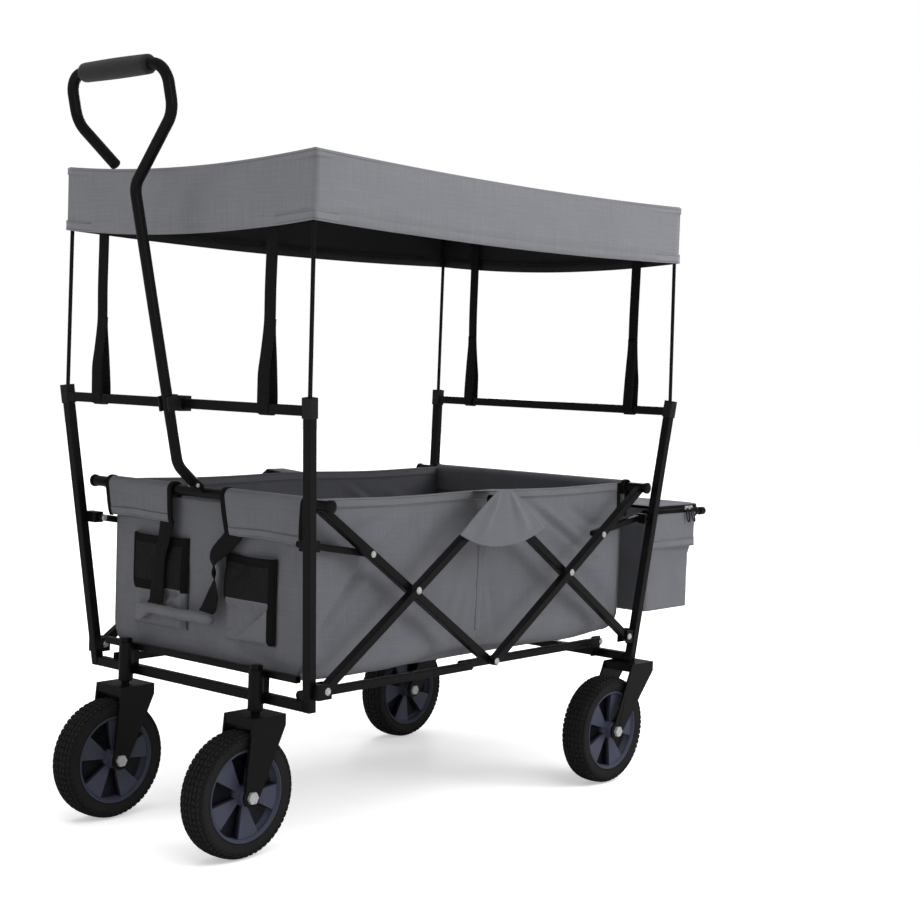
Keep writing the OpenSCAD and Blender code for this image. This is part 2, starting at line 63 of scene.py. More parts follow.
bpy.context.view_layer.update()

# %% [markdown]
# Workshop drawings of a folding frame are dimensioned from the middle of the scissor, in millimetres. The
# two top tubes stand at equal distances from that middle, so halfway between them is the drawing's zero.

# %% Millimetres of the drawing to metres of the frame
tube_front = sum(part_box("front_top_tube"), Vector()) / 2
tube_rear = sum(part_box("rear_top_tube"), Vector()) / 2
MIDDLE = (tube_front.x + tube_rear.x) / 2
TUBE_X = (tube_rear.x - tube_front.x) / 2 * 1000
TUBE_Z = tube_front.z * 1000


def at(x, y, z):
    """A point of the drawing as a place in the frame."""
    return Vector((MIDDLE + x / 1000, y / 1000, z / 1000))


print("the drawing's zero is at x", round(MIDDLE, 4), "and the top tubes at", round(TUBE_X, 1),
      round(TUBE_Z, 1))

# %% [markdown]
# ## The studio
#
# A plain pale floor and soft light. Black tube shows its shape only by what it reflects, so most of the light
# comes from a few large soft panels, with a dim surround: the tubes stay black and carry thin bright lines.
# The lens is a short telephoto at seat height, turned a little off level.

# %% Camera
yaw, pitch, roll = (math.radians(a) for a in (49.381, 3.2675, 1.9285))
forward = Vector((math.sin(yaw) * math.cos(pitch), math.cos(yaw) * math.cos(pitch), -math.sin(pitch)))
level = Vector((math.cos(yaw), -math.sin(yaw), 0))
above = level.cross(forward)
camera_right = math.cos(roll) * level + math.sin(roll) * above
camera_up = math.cos(roll) * above - math.sin(roll) * level
camera_data = bpy.data.cameras.new("camera")
camera_data.lens = 66.02
camera_data.sensor_width = 36
camera = bpy.data.objects.new("camera", camera_data)
turn = Matrix((camera_right, camera_up, -forward)).transposed().to_4x4()
camera.matrix_world = Matrix.Translation((-2.0298, -1.8832, 0.7000)) @ turn
bpy.context.scene.collection.objects.link(camera)
bpy.context.scene.camera = camera
bpy.context.scene.view_settings.view_transform = "Standard"
print("camera looks", tuple(round(v, 3) for v in forward))


# %% Two small helpers for colour and nodes
def linear(hex_colour, alpha=1.0):
    """An sRGB hex value as the linear colour that shaders work in."""
    values = [int(hex_colour[i:i + 2], 16) / 255 for i in (0, 2, 4)]
    return [v / 12.92 if v <= 0.04045 else ((v + 0.055) / 1.055) ** 2.4 for v in values] + [alpha]


def add(tree, kind, settings=None, links=None, to=None):
    """One node: settings by name, inputs joined to other outputs, the first output joined to a socket."""
    node = tree.nodes.new(kind)
    for name, value in (settings or {}).items():
        if isinstance(name, int) or name in node.inputs:
            node.inputs[name].default_value = value
        else:
            setattr(node, name, value)
    for name, output in (links or {}).items():
        tree.links.new(output, node.inputs[name])
    if to is not None:
        tree.links.new(node.outputs[0], to)
    return node


# %% Floor, surround and light panels
bm = bmesh.new()
bmesh.ops.create_circle(bm, cap_ends=True, segments=96, radius=14)
floor_mesh = bpy.data.meshes.new("studio_floor")
bm.to_mesh(floor_mesh)
bm.free()
floor = bpy.data.objects.new("studio_floor", floor_mesh)
bpy.context.scene.collection.objects.link(floor)
paper = bpy.data.materials.new("white_paper_floor")
paper.use_nodes = True
paper_tree = paper.node_tree
paper_shader = paper_tree.nodes["Principled BSDF"]
paper_shader.inputs["Roughness"].default_value = 0.9
paper_shader.inputs["Specular IOR Level"].default_value = 0.1
paper_shader.inputs["Emission Color"].default_value = linear("FFFFFF")
sight = add(paper_tree, "ShaderNodeLightPath")
paper_shade = add(paper_tree, "ShaderNodeMix",
                  {"data_type": "RGBA", 6: linear("F4F4F4"), 7: linear("808080")},
                  {0: sight.outputs["Is Glossy Ray"]})
paper_tree.links.new(paper_shade.outputs[2], paper_shader.inputs["Base Color"])
add(paper_tree, "ShaderNodeMath", {"operation": "MULTIPLY", 1: 0.42},
    {0: sight.outputs["Is Camera Ray"]}, to=paper_shader.inputs["Emission Strength"])
floor_mesh.materials.append(paper)

world = bpy.data.worlds.new("surround")
world.use_nodes = True
bpy.context.scene.world = world
sky = world.node_tree
sky.nodes.clear()
lit = add(sky, "ShaderNodeBackground", {"Color": linear("FFFFFF")})
seen = add(sky, "ShaderNodeBackground", {"Color": linear("FFFFFF"), "Strength": 1.0})
ray = add(sky, "ShaderNodeLightPath")
add(sky, "ShaderNodeMapRange", {"To Min": 0.30, "To Max": 0.2}, {"Value": ray.outputs["Is Glossy Ray"]},
    to=lit.inputs["Strength"])
both = add(sky, "ShaderNodeMixShader", links={0: ray.outputs["Is Camera Ray"], 1: lit.outputs[0],
                                              2: seen.outputs[0]})
add(sky, "ShaderNodeOutputWorld", links={"Surface": both.outputs[0]})


def light_panel(name, place, target, width, height, watts):
    """A soft box at a place, facing a target."""
    data = bpy.data.lights.new(name, "AREA")
    data.shape = "RECTANGLE"
    data.size = width
    data.size_y = height
    data.energy = watts
    panel = bpy.data.objects.new(name, data)
    facing = (Vector(target) - Vector(place)).to_track_quat("-Z", "Y")
    panel.matrix_world = Matrix.Translation(place) @ facing.to_matrix().to_4x4()
    bpy.context.scene.collection.objects.link(panel)
    return panel


overhead = bpy.data.lights.new("overhead", "SUN")
overhead.energy = 2.5
overhead.angle = math.radians(75)
overhead_lamp = bpy.data.objects.new("overhead", overhead)
overhead_lamp.matrix_world = (Matrix.Rotation(math.radians(14), 4, "X")
                              @ Matrix.Rotation(math.radians(4), 4, "Y"))
bpy.context.scene.collection.objects.link(overhead_lamp)
key = light_panel("key", (2.1, -2.7, 1.8), (0, 0, 0.55), 1.7, 1.5, 66)
light_panel("edge_strip", (-1.6, -3.0, 1.2), (0, 0, 0.5), 0.12, 2.4, 5)
front = light_panel("front", (-3.0, 0.7, 1.2), (0, 0, 0.5), 1.2, 1.4, 13)
light_panel("back_strip", (2.6, 2.0, 1.6), (0, 0, 0.5), 0.5, 2.2, 22)
for lamp in (overhead_lamp, key, front):
    lamp.visible_glossy = False

# %% [markdown]
# ## Finishes
#
# Each finish is named for what it really is, and its pattern has a real size. Hard parts read Object
# coordinates, so a grain stays put in the part. Cloth carries its own UV map in metres, laid out flat as it
# was cut, so the threads follow every fold.


# %% A new material with its shader
def new_finish(name, colour, roughness, settings=None):
    """A material, its tree and its shader, with the numbers that are the same all over set on the shader."""
    finish = bpy.data.materials.new(name)
    finish.use_nodes = True
    tree = finish.node_tree
    shader = tree.nodes["Principled BSDF"]
    shader.inputs["Base Color"].default_value = linear(colour)
    shader.inputs["Roughness"].default_value = roughness
    for key, value in (settings or {}).items():
        shader.inputs[key].default_value = value
    return finish, tree, shader


def mottle(tree, shader, coords, scale, dark, light, detail=3.0):
    """The base colour wanders between two near shades in patches of a stated size."""
    cloud = add(tree, "ShaderNodeTexNoise", {"Scale": scale, "Detail": detail}, {"Vector": coords})
    shades = add(tree, "ShaderNodeMix", {"data_type": "RGBA", 6: linear(dark), 7: linear(light)},
                 {0: cloud.outputs["Fac"]})
    tree.links.new(shades.outputs[2], shader.inputs["Base Color"])
    return cloud, shades


# %% [markdown]
# The steel bars are powder coated: dry paint dust is baked on and flows into a thick gloss black skin. It
# gives a deep black, a clear highlight, and the faint orange peel of paint that has flowed, about 2 mm
# across.


# %% Gloss black powder coat on steel tube
def gloss_powder_coat():
    finish, tree, shader = new_finish("gloss_black_powder_coat", "090909", 0.3,
                                      {"Coat Weight": 0.06, "Coat Roughness": 0.12,
                                       "Specular IOR Level": 0.26})
    place = add(tree, "ShaderNodeTexCoord").outputs["Object"]
    mottle(tree, shader, place, 9.0, "080809", "0E0E0F")
    rub = add(tree, "ShaderNodeTexNoise", {"Scale": 38.0, "Detail": 5.0}, {"Vector": place})
    add(tree, "ShaderNodeMapRange", {"To Min": 0.22, "To Max": 0.4}, {"Value": rub.outputs["Fac"]},
        to=shader.inputs["Roughness"])
    peel = add(tree, "ShaderNodeTexNoise", {"Scale": 500.0, "Detail": 1.0}, {"Vector": place})
    add(tree, "ShaderNodeBump", {"Strength": 0.25, "Distance": 0.0003}, {"Height": peel.outputs["Fac"]},
        to=shader.inputs["Normal"])
    return finish


powder_coat = gloss_powder_coat()


# %% [markdown]
# Rivets, axle bolts and small fittings are zinc plated steel: pale grey metal, not mirror bright, with a
# slightly cloudy film.

# %% Zinc plate on rivets and bolts
def bright_zinc_plate():
    finish, tree, shader = new_finish("zinc_plated_steel", "D4D5D6", 0.28, {"Metallic": 0.6})
    place = add(tree, "ShaderNodeTexCoord").outputs["Object"]
    mottle(tree, shader, place, 160.0, "BFC1C3", "E2E2E0")
    film = add(tree, "ShaderNodeTexNoise", {"Scale": 420.0, "Detail": 3.0}, {"Vector": place})
    add(tree, "ShaderNodeMapRange", {"To Min": 0.2, "To Max": 0.42}, {"Value": film.outputs["Fac"]},
        to=shader.inputs["Roughness"])
    add(tree, "ShaderNodeBump", {"Strength": 0.12, "Distance": 0.0001}, {"Height": film.outputs["Fac"]},
        to=shader.inputs["Normal"])
    return finish


zinc_plate = bright_zinc_plate()


# %% [markdown]
# Three mouldings: the black nylon end caps and clip, which leave a spark-eroded mould with a fine satin
# grain; the slate blue polypropylene of the hubs, a little glossier; and the soft solid tread of the wheels,
# a foamed rubber that is matt and always slightly dusty in its grooves.

# %% Moulded plastics and tread rubber
def moulded(name, dark, light, roughness, grain, depth, settings=None):
    """A moulded plastic: near shades in patches, and a grain with its features to the metre and its depth."""
    finish, tree, shader = new_finish(name, dark, roughness, settings)
    place = add(tree, "ShaderNodeTexCoord").outputs["Object"]
    mottle(tree, shader, place, 22.0, dark, light)
    pebbles = add(tree, "ShaderNodeTexNoise", {"Scale": grain, "Detail": 2.0}, {"Vector": place})
    add(tree, "ShaderNodeMapRange", {"To Min": roughness - 0.08, "To Max": roughness + 0.08},
        {"Value": pebbles.outputs["Fac"]},
        to=shader.inputs["Roughness"])
    add(tree, "ShaderNodeBump", {"Strength": 0.3, "Distance": depth}, {"Height": pebbles.outputs["Fac"]},
        to=shader.inputs["Normal"])
    return finish


black_nylon = moulded("spark_grained_black_nylon", "111112", "1A1A1B", 0.5, 900.0, 0.0002)
slate_polypropylene = moulded("slate_blue_polypropylene", "363947", "404352", 0.4, 700.0, 0.0001,
                              {"Specular IOR Level": 0.4})
# The hub's web: the slate polypropylene painted near black, as painted shade in the deep pockets between the
# wedges.
web_in_painted_shade = moulded("polypropylene_web_in_painted_shade", "101118", "15161E", 0.45, 700.0, 0.0001)
tread_rubber = moulded("foamed_tread_rubber", "141415", "202021", 0.68, 420.0, 0.0004,
                       {"Specular IOR Level": 0.35})

# %% [markdown]
# The grip is a tube of closed-cell nitrile foam, pushed on over the steel with soapy water. Cut foam is matt,
# with open cells of about a millimetre that catch the light as small pits.


# %% Closed-cell foam
def nitrile_foam():
    finish, tree, shader = new_finish("closed_cell_nitrile_foam", "1C1C1D", 0.88, {"Sheen Weight": 0.15})
    place = add(tree, "ShaderNodeTexCoord").outputs["Object"]
    mottle(tree, shader, place, 30.0, "181819", "242425")
    cells = add(tree, "ShaderNodeTexVoronoi", {"Scale": 750.0}, {"Vector": place})
    add(tree, "ShaderNodeBump", {"Strength": 0.55, "Distance": 0.0005}, {"Height": cells.outputs["Distance"]},
        to=shader.inputs["Normal"])
    return finish


foam = nitrile_foam()

# %% [markdown]
# The tub is 600 denier polyester, woven plain and coated on the back. The threads really lie about 0.6 mm
# apart, too fine to be seen from a few steps away, so they are drawn 1.5 mm apart. A wave runs along each set
# of threads, and a checker says which set is on top at each crossing: that is what a plain weave is. Over the
# weave go slubs, where a thread is thicker for a stretch, and the soft dents that handling leaves in cloth.


# %% Woven polyester
THREAD = 0.0015
WAVE_TO_METRES = 2 * math.pi / 20


def woven_cloth(name, dark, light, roughness=0.74, weave_depth=0.00025, sheen=0.2, thread=THREAD,
                dents=0.0012):
    finish, tree, shader = new_finish(name, dark, roughness,
                                      {"Sheen Weight": sheen, "Sheen Roughness": 0.5,
                                       "Specular IOR Level": 0.35})
    flat = add(tree, "ShaderNodeUVMap", {"uv_map": "cut"}).outputs["UV"]
    _, shades = mottle(tree, shader, flat, 7.0, dark, light)
    warp, weft = [add(tree, "ShaderNodeTexWave", {"bands_direction": way, "Scale": WAVE_TO_METRES / thread},
                      {"Vector": flat}).outputs["Fac"] for way in ("X", "Y")]
    crossing = add(tree, "ShaderNodeTexChecker", {"Scale": 1 / thread}, {"Vector": flat}).outputs["Fac"]
    weave = add(tree, "ShaderNodeMix", links={0: crossing, 2: warp, 3: weft}).outputs[0]
    along = add(tree, "ShaderNodeMapping", {"Scale": (14.0, 520.0, 1.0)}, {"Vector": flat}).outputs[0]
    up = add(tree, "ShaderNodeMapping", {"Scale": (520.0, 14.0, 1.0)}, {"Vector": flat}).outputs[0]
    slub_along = add(tree, "ShaderNodeTexNoise", {"Scale": 1.0, "Detail": 2.0},
                     {"Vector": along}).outputs["Fac"]
    slub_up = add(tree, "ShaderNodeTexNoise", {"Scale": 1.0, "Detail": 2.0}, {"Vector": up}).outputs["Fac"]
    slubs = add(tree, "ShaderNodeMath", {"operation": "MULTIPLY"}, {0: slub_along, 1: slub_up}).outputs[0]
    tone = add(tree, "ShaderNodeMath", {"operation": "MULTIPLY_ADD", 1: 0.55, 2: 0.62}, {0: slubs}).outputs[0]
    fine = add(tree, "ShaderNodeMath", {"operation": "MULTIPLY_ADD", 1: 0.16}, {0: weave, 2: tone}).outputs[0]
    shaded = add(tree, "ShaderNodeMix", {"data_type": "RGBA", "blend_type": "MULTIPLY", 0: 1.0},
                 {6: shades.outputs[2], 7: fine}).outputs[2]
    tree.links.new(shaded, shader.inputs["Base Color"])
    add(tree, "ShaderNodeMapRange", {"To Min": roughness - 0.08, "To Max": roughness + 0.08},
        {"Value": slubs},
        to=shader.inputs["Roughness"])
    handled = add(tree, "ShaderNodeTexNoise", {"Scale": 26.0, "Detail": 3.0, "Distortion": 0.6},
                  {"Vector": flat})
    soft = add(tree, "ShaderNodeBump", {"Strength": 0.35, "Distance": dents},
               {"Height": handled.outputs["Fac"]})
    add(tree, "ShaderNodeBump", {"Strength": 0.5, "Distance": weave_depth},
        {"Height": weave, "Normal": soft.outputs[0]},
        to=shader.inputs["Normal"])
    return finish, tree, shader, shaded


tub_cloth = woven_cloth("grey_oxford_polyester", "65666C", "6D6E74", sheen=0.08)[0]
# The coated back of the tub cloth. Its colour, darker than the face, is partly the coating's own grey and
# partly painted shade for the inside of the tub and the bag.
tub_back_with_painted_shade = woven_cloth("coated_polyester_back_with_painted_shade", "5A5B62", "62636A", roughness=0.6, sheen=0.05)[0]
canopy_cloth = woven_cloth("grey_canopy_polyester", "7B7C81", "828388", dents=0.0008, sheen=0.1)[0]
canopy_lining = woven_cloth("black_coated_canopy_back", "1B1B1C", "222223", roughness=0.55, sheen=0.05)[0]


# %% [markdown]
# A hem is the same cloth folded over twice and sewn down. What tells the eye is its two rows of stitches:
# polyester thread, a stitch every 4 mm, lying in a small trough that the tension of the thread pulls.

# %% Hem cloth with two rows of stitches
def stitched_cloth(name, dark, light, thread_colour, rows, pitch=0.0042):
    finish, tree, shader, shaded = woven_cloth(name, dark, light)
    flat = add(tree, "ShaderNodeUVMap", {"uv_map": "cut"}).outputs["UV"]
    parts = add(tree, "ShaderNodeSeparateXYZ", links={0: flat})
    beat = add(tree, "ShaderNodeMath", {"operation": "DIVIDE", 1: pitch}, {0: parts.outputs[0]}).outputs[0]
    share = add(tree, "ShaderNodeMath", {"operation": "FRACT"}, {0: beat}).outputs[0]
    dash = add(tree, "ShaderNodeMath", {"operation": "LESS_THAN", 1: 0.76}, {0: share}).outputs[0]
    total = None
    for row in rows:
        line = add(tree, "ShaderNodeMath", {"operation": "COMPARE", 1: row, 2: 0.0006},
                   {0: parts.outputs[1]}).outputs[0]
        total = line if total is None else add(tree, "ShaderNodeMath", {"operation": "ADD"},
                                               {0: total, 1: line}).outputs[0]
    stitch = add(tree, "ShaderNodeMath", {"operation": "MULTIPLY"}, {0: total, 1: dash}).outputs[0]
    colour = add(tree, "ShaderNodeMix", {"data_type": "RGBA", 7: linear(thread_colour)},
                 {0: stitch, 6: shaded}).outputs[2]
    tree.links.new(colour, shader.inputs["Base Color"])
    weave_bump = shader.inputs["Normal"].links[0].from_socket
    add(tree, "ShaderNodeBump", {"Strength": 0.6, "Distance": 0.0006},
        {"Height": stitch, "Normal": weave_bump},
        to=shader.inputs["Normal"])
    return finish


tub_hem = stitched_cloth("sewn_tub_hem", "636469", "6B6C71", "43444A", (0.0025, 0.0125))
canopy_hem = stitched_cloth("sewn_canopy_hem", "7B7C81", "828388", "55565B", (0.0025, 0.0125))

# %% [markdown]
# Webbing, binding tape and zip tape are woven narrow, with the strong threads running the long way and a
# twill that leans across them. The pocket fronts are a knitted mesh with holes about 2 mm across, through
# which the grey cloth behind them shows.


# %% Webbing, tape and mesh
def ribbed_tape(name, dark, light, rib=0.0026, lean=0.35):
    finish, tree, shader = new_finish(name, dark, 0.72, {"Sheen Weight": 0.01, "Specular IOR Level": 0.16})
    flat = add(tree, "ShaderNodeUVMap", {"uv_map": "cut"}).outputs["UV"]
    turned = add(tree, "ShaderNodeMapping", {"Rotation": (0, 0, lean)}, {"Vector": flat}).outputs[0]
    ribs = add(tree, "ShaderNodeTexWave", {"bands_direction": "X", "Scale": WAVE_TO_METRES / rib},
               {"Vector": turned}).outputs["Fac"]
    shades = add(tree, "ShaderNodeMix", {"data_type": "RGBA", 6: linear(dark), 7: linear(light)},
                 {0: ribs}).outputs[2]
    tree.links.new(shades, shader.inputs["Base Color"])
    fuzz = add(tree, "ShaderNodeTexNoise", {"Scale": 900.0, "Detail": 2.0}, {"Vector": flat}).outputs["Fac"]
    under = add(tree, "ShaderNodeBump", {"Strength": 0.3, "Distance": 0.0002}, {"Height": fuzz})
    add(tree, "ShaderNodeBump", {"Strength": 0.6, "Distance": 0.0004},
        {"Height": ribs, "Normal": under.outputs[0]},
        to=shader.inputs["Normal"])
    return finish


webbing = ribbed_tape("black_polyester_webbing", "0C0C0D", "1A1A1C")
binding_tape = ribbed_tape("black_binding_tape", "0A0A0B", "141415", rib=0.0018, lean=0.0)


def knitted_mesh():
    finish, tree, shader = new_finish("black_knitted_mesh", "0C0C0D", 0.7, {"Specular IOR Level": 0.2})
    flat = add(tree, "ShaderNodeUVMap", {"uv_map": "cut"}).outputs["UV"]
    cells = add(tree, "ShaderNodeTexVoronoi", {"Scale": 420.0, "Randomness": 0.15}, {"Vector": flat})
    hole = add(tree, "ShaderNodeMath", {"operation": "LESS_THAN", 1: 0.33}, {0: cells.outputs["Distance"]})
    shades = add(tree, "ShaderNodeMix", {"data_type": "RGBA", 6: linear("0E0E0F"), 7: linear("2A2A2D")},
                 {0: hole.outputs[0]}).outputs[2]
    tree.links.new(shades, shader.inputs["Base Color"])
    add(tree, "ShaderNodeBump", {"Strength": 0.7, "Distance": 0.0006}, {"Height": cells.outputs["Distance"]},
        to=shader.inputs["Normal"])
    return finish


pocket_mesh = knitted_mesh()
print("finishes:", sorted(m.name for m in bpy.data.materials if m.use_nodes and m.node_tree))

# %% [markdown]
# ## The steel frame
#
# The bars, brackets, posts and bolts are already the right shape. On real tube and folded plate no edge is
# razor sharp, and it is the rounded edge that carries the bright line. So each part keeps its mesh and gets
# three modifiers: Weld joins its loose triangles, Bevel rounds every edge sharper than 35 degrees by half a
# millimetre or so, and Weighted Normal keeps the flat faces flat.


# %% Round the edges of the steel parts and paint them
def finish_part(name, finish, edge=0.0007):
    part = nodes[name]
    for holder in part.material_slots:
        holder.material = finish
    part.data.shade_smooth()
    weld = part.modifiers.new("weld", "WELD")
    weld.merge_threshold = 0.00001
    rounding = part.modifiers.new("rounded_edges", "BEVEL")
    rounding.width = edge
    rounding.segments = 2
    rounding.limit_method = "ANGLE"
    rounding.angle_limit = math.radians(35)
    rounding.use_clamp_overlap = True
    part.modifiers.new("flat_faces", "WEIGHTED_NORMAL")


NEW_SHAPES = {"canopy", "front_canopy_straps", "rear_canopy_straps", "basket_cloth", "front_panel",
              "rear_panel",
              "front_pockets", "carry_bar", "rear_bag", "bag_lid", "handle_tube", "handle_grip"}
NEW_SHAPES |= {n for n in nodes if "_hub_" in n or "_tyre_" in n}
for name in nodes:
    if name in NEW_SHAPES:
        continue
    if "rivets" in name or "bolt" in name:
        finish_part(name, zinc_plate, 0.0003)
    elif "caps" in name or "clip" in name:
        finish_part(name, black_nylon, 0.0008)
    else:
        finish_part(name, powder_coat)
print("kept as they are:", len(nodes) - len(NEW_SHAPES), "parts; made new:", len(NEW_SHAPES))


# %% [markdown]
# ## Wheels
#
# A new piece starts as a bmesh and ends as an object that rides on one body of the frame, so every piece
# below goes through the same small door.

# %% From bmesh to a riding piece
def riding_piece(name, bm, finish, body, smooth=True, slot=None):
    mesh = bpy.data.meshes.new(name)
    bm.to_mesh(mesh)
    bm.free()
    mesh.materials.append(finish)
    if smooth:
        mesh.shade_smooth()
    piece = bpy.data.objects.new(name, mesh)
    bpy.context.scene.collection.objects.link(piece)
    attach(piece, body)
    print(f"{name}: {len(mesh.polygons)} faces on {body}")
    return piece


def chain(bm, points):
    """Vertices at the points, each joined to the next by an edge."""
    verts = [bm.verts.new(p) for p in points]
    return verts + [bm.edges.new(pair) for pair in zip(verts, verts[1:])]


def spin_round(bm, geom, steps):
    """A full turn about the wheel's axle, closed where it meets itself."""
    bmesh.ops.spin(bm, geom=geom, cent=(0, 0, 0), axis=(0, 1, 0), angle=2 * math.pi, steps=steps,
                   use_merge=True)
    bmesh.ops.remove_doubles(bm, verts=bm.verts, dist=0.00001)
    bmesh.ops.recalc_face_normals(bm, faces=bm.faces)


# %% [markdown]
# The tyre is a solid ring of foamed rubber, moulded on to the hub. Turning its section about the axle makes
# the smooth ring. The tread is then raised from it: the rings of vertices across the crown are turned to and
# fro by a quarter of a block, which makes the rows lean like a herringbone, and every face of those rows is
# inset on its own and lifted. That leaves a groove round each block, and costs only five faces a block.

# %% Tyres
TREAD_STEPS = 60
tyre_radius = (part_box("rear_tyre_left")[1].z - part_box("rear_tyre_left")[0].z) / 2
half_section = [(66.2, 15.5), (65.9, 18.6), (68.2, 20.4), (69.6, 20.2), (73.0, 21.3), (76.6, 21.7),
                (80.0, 21.4),
                (84.0, 19.6), (86.8, 14.0), (87.6, 7.0), (87.9, 0.0)]
BLOCK_ROWS_FROM = 80.0


def tyre(name, node, body):
    low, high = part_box(node)
    scale = tyre_radius / 90.1
    bm = bmesh.new()
    half = [Vector((0, y * scale, r * scale)) for r, y in half_section]
    ring = half + [Vector((p.x, -p.y, p.z)) for p in reversed(half[:-1])]
    spin_round(bm, chain(bm, ring), TREAD_STEPS)
    block_turn = 2 * math.pi / TREAD_STEPS
    crown = [p.y for p in ring if p.z >= BLOCK_ROWS_FROM * scale - 1e-6]
    for vert in bm.verts:
        radius = math.hypot(vert.co.x, vert.co.z)
        if radius < (BLOCK_ROWS_FROM + 1) * scale:
            continue
        row = min(range(len(crown)), key=lambda k: abs(crown[k] - vert.co.y))
        sway = (0.25 if row % 2 else -0.25) * block_turn
        vert.co = Matrix.Rotation(sway, 3, "Y") @ vert.co
    blocks = [f for f in bm.faces
              if all(math.hypot(v.co.x, v.co.z) > (BLOCK_ROWS_FROM - 1) * scale for v in f.verts)]
    bmesh.ops.inset_individual(bm, faces=blocks, thickness=0.0009, depth=0.0, use_even_offset=True)
    bmesh.ops.inset_individual(bm, faces=blocks, thickness=0.0004, depth=0.0021, use_even_offset=True)
    bmesh.ops.translate(bm, vec=(low + high) / 2, verts=bm.verts)
    piece = riding_piece(name, bm, tread_rubber, body, smooth=False, slot="tread")
    smooth_sides = [math.hypot(p.center.x - (low.x + high.x) / 2, p.center.z - (low.z + high.z) / 2)
                    < (BLOCK_ROWS_FROM - 1) * scale / 1.0 for p in piece.data.polygons]
    piece.data.polygons.foreach_set("use_smooth", smooth_sides)
    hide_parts(node)
    return piece


wheels = [("front", "left"), ("front", "right"), ("rear", "left"), ("rear", "right")]
for end, side in wheels:
    tyre(f"{end}_{side}_tyre", f"{end}_tyre_{side}", f"{end}_wheel_{side}")


# %% [markdown]
# The hub is one polypropylene moulding: a rim band with a raised lip, a boss round the axle, a thin web
# between them, and on each side five flush wedges with five deep pockets between them. Band, boss and web
# come from turning a section. One wedge is a fan-shaped face, extruded away from the web, bevelled, copied
# to the other side and then spun round five times with use_duplicate. The web at the bottom of the pockets
# is given a near-black finish: painted shade in the pockets.

# %% Hubs
hub_half = [(5.2, 25.6), (11.6, 25.6), (13.2, 24.2), (14.0, 20.0), (14.0, 3.0), (60.2, 3.0), (60.8, 16.6),
            (61.6, 17.6), (62.6, 17.8), (63.4, 19.8), (64.4, 20.8), (65.6, 20.4), (66.1, 18.6), (66.1, 10.0)]


def wedges():
    """Five wedges on each side of the web, as a mesh of their own."""
    bm = bmesh.new()
    fan = [(13.4, a) for a in (-0.30, 0.0, 0.30)] + [(60.6, a) for a in (0.31, 0.16, 0.0, -0.16, -0.31)]
    corners = [bm.verts.new((r / 1000 * math.sin(a), 0.0028, r / 1000 * math.cos(a))) for r, a in fan]
    made = bmesh.ops.extrude_face_region(bm, geom=[bm.faces.new(corners)])
    raised = [g for g in made["geom"] if isinstance(g, bmesh.types.BMVert)]
    for vert in raised:
        out = math.hypot(vert.co.x, vert.co.z)
        vert.co.y = 0.0132 + 0.0034 * (out - 0.0134) / 0.0472
    top = [e for e in bm.edges if all(v in raised for v in e.verts)]
    bmesh.ops.bevel(bm, geom=top, offset=0.0006, offset_type="OFFSET", segments=2, profile=0.5,
                    affect="EDGES", clamp_overlap=True, material=-1)
    everything = bm.verts[:] + bm.edges[:] + bm.faces[:]
    bmesh.ops.spin(bm, geom=everything, cent=(0, 0, 0), axis=(0, 1, 0), angle=2 * math.pi * 4 / 5, steps=4,
                   use_duplicate=True)
    everything = bm.verts[:] + bm.edges[:] + bm.faces[:]
    bmesh.ops.mirror(bm, geom=everything, axis="Y", merge_dist=0.0)
    bmesh.ops.recalc_face_normals(bm, faces=bm.faces)
    mesh = bpy.data.meshes.new("wedges")
    bm.to_mesh(mesh)
    bm.free()
    return mesh


wedge_mesh = wedges()


def hub(name, node, body, first_wedge):
    low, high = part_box(node)
    bm = bmesh.new()
    bm.from_mesh(wedge_mesh)
    bmesh.ops.rotate(bm, verts=bm.verts, cent=(0, 0, 0), matrix=Matrix.Rotation(first_wedge, 3, "Y"))
    turned = bmesh.new()
    side = [Vector((0, y / 1000, r / 1000)) for r, y in hub_half]
    other = [Vector((p.x, -p.y, p.z)) for p in reversed(side)]
    spin_round(turned, chain(turned, side + other + [side[0]]), 80)
    turned_mesh = bpy.data.meshes.new("turned")
    turned.to_mesh(turned_mesh)
    turned.free()
    bm.from_mesh(turned_mesh)
    # The web faces between the wedges take the near-black finish: painted shade in the pockets.
    for face in bm.faces:
        if all(abs(v.co.y) < 0.0035 for v in face.verts):
            face.material_index = 1
    bmesh.ops.translate(bm, vec=(low + high) / 2, verts=bm.verts)
    piece = riding_piece(name, bm, slate_polypropylene, body, slot="hub")
    piece.data.materials.append(web_in_painted_shade)
    piece.modifiers.new("flat_faces", "WEIGHTED_NORMAL")
    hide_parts(node)
    return piece


for (end, side), first_wedge in zip(wheels, (0.5, 0.1, 0.3, 0.9)):
    hub(f"{end}_{side}_hub", f"{end}_hub_{side}", f"{end}_wheel_{side}", first_wedge)


# %% [markdown]
# ## The pull handle
#
# One steel tube, bent cold in a bender: a lean shaft, an open loop with round corners, and a foot that turns
# back towards its pivot and is pressed flat there. A tube is a ring pulled along a path: the ring's edges are
# extruded, the new ring is put square to the next stretch of the path, and so on to the end.


# %% Round a path's corners and pull a ring along it
def rounded_path(corners, radii, steps=10):
    """The corners joined by straights, with an arc of the stated radius at each inner corner."""
    points = [corners[0]]
    for before, corner, after, radius in zip(corners, corners[1:], corners[2:], radii):
        back = (before - corner).normalized()
        on = (after - corner).normalized()
        half = back.angle(on) / 2
        middle = corner + (back + on).normalized() * radius / math.sin(half)
        start = corner + back * radius / math.tan(half) - middle
        stop = corner + on * radius / math.tan(half) - middle
        swept = start.angle(stop)
        for k in range(steps + 1):
            share = k / steps
            points.append(middle + (start * math.sin(swept * (1 - share)) + stop * math.sin(swept * share))
                          / math.sin(swept))
    return points + [corners[-1]]


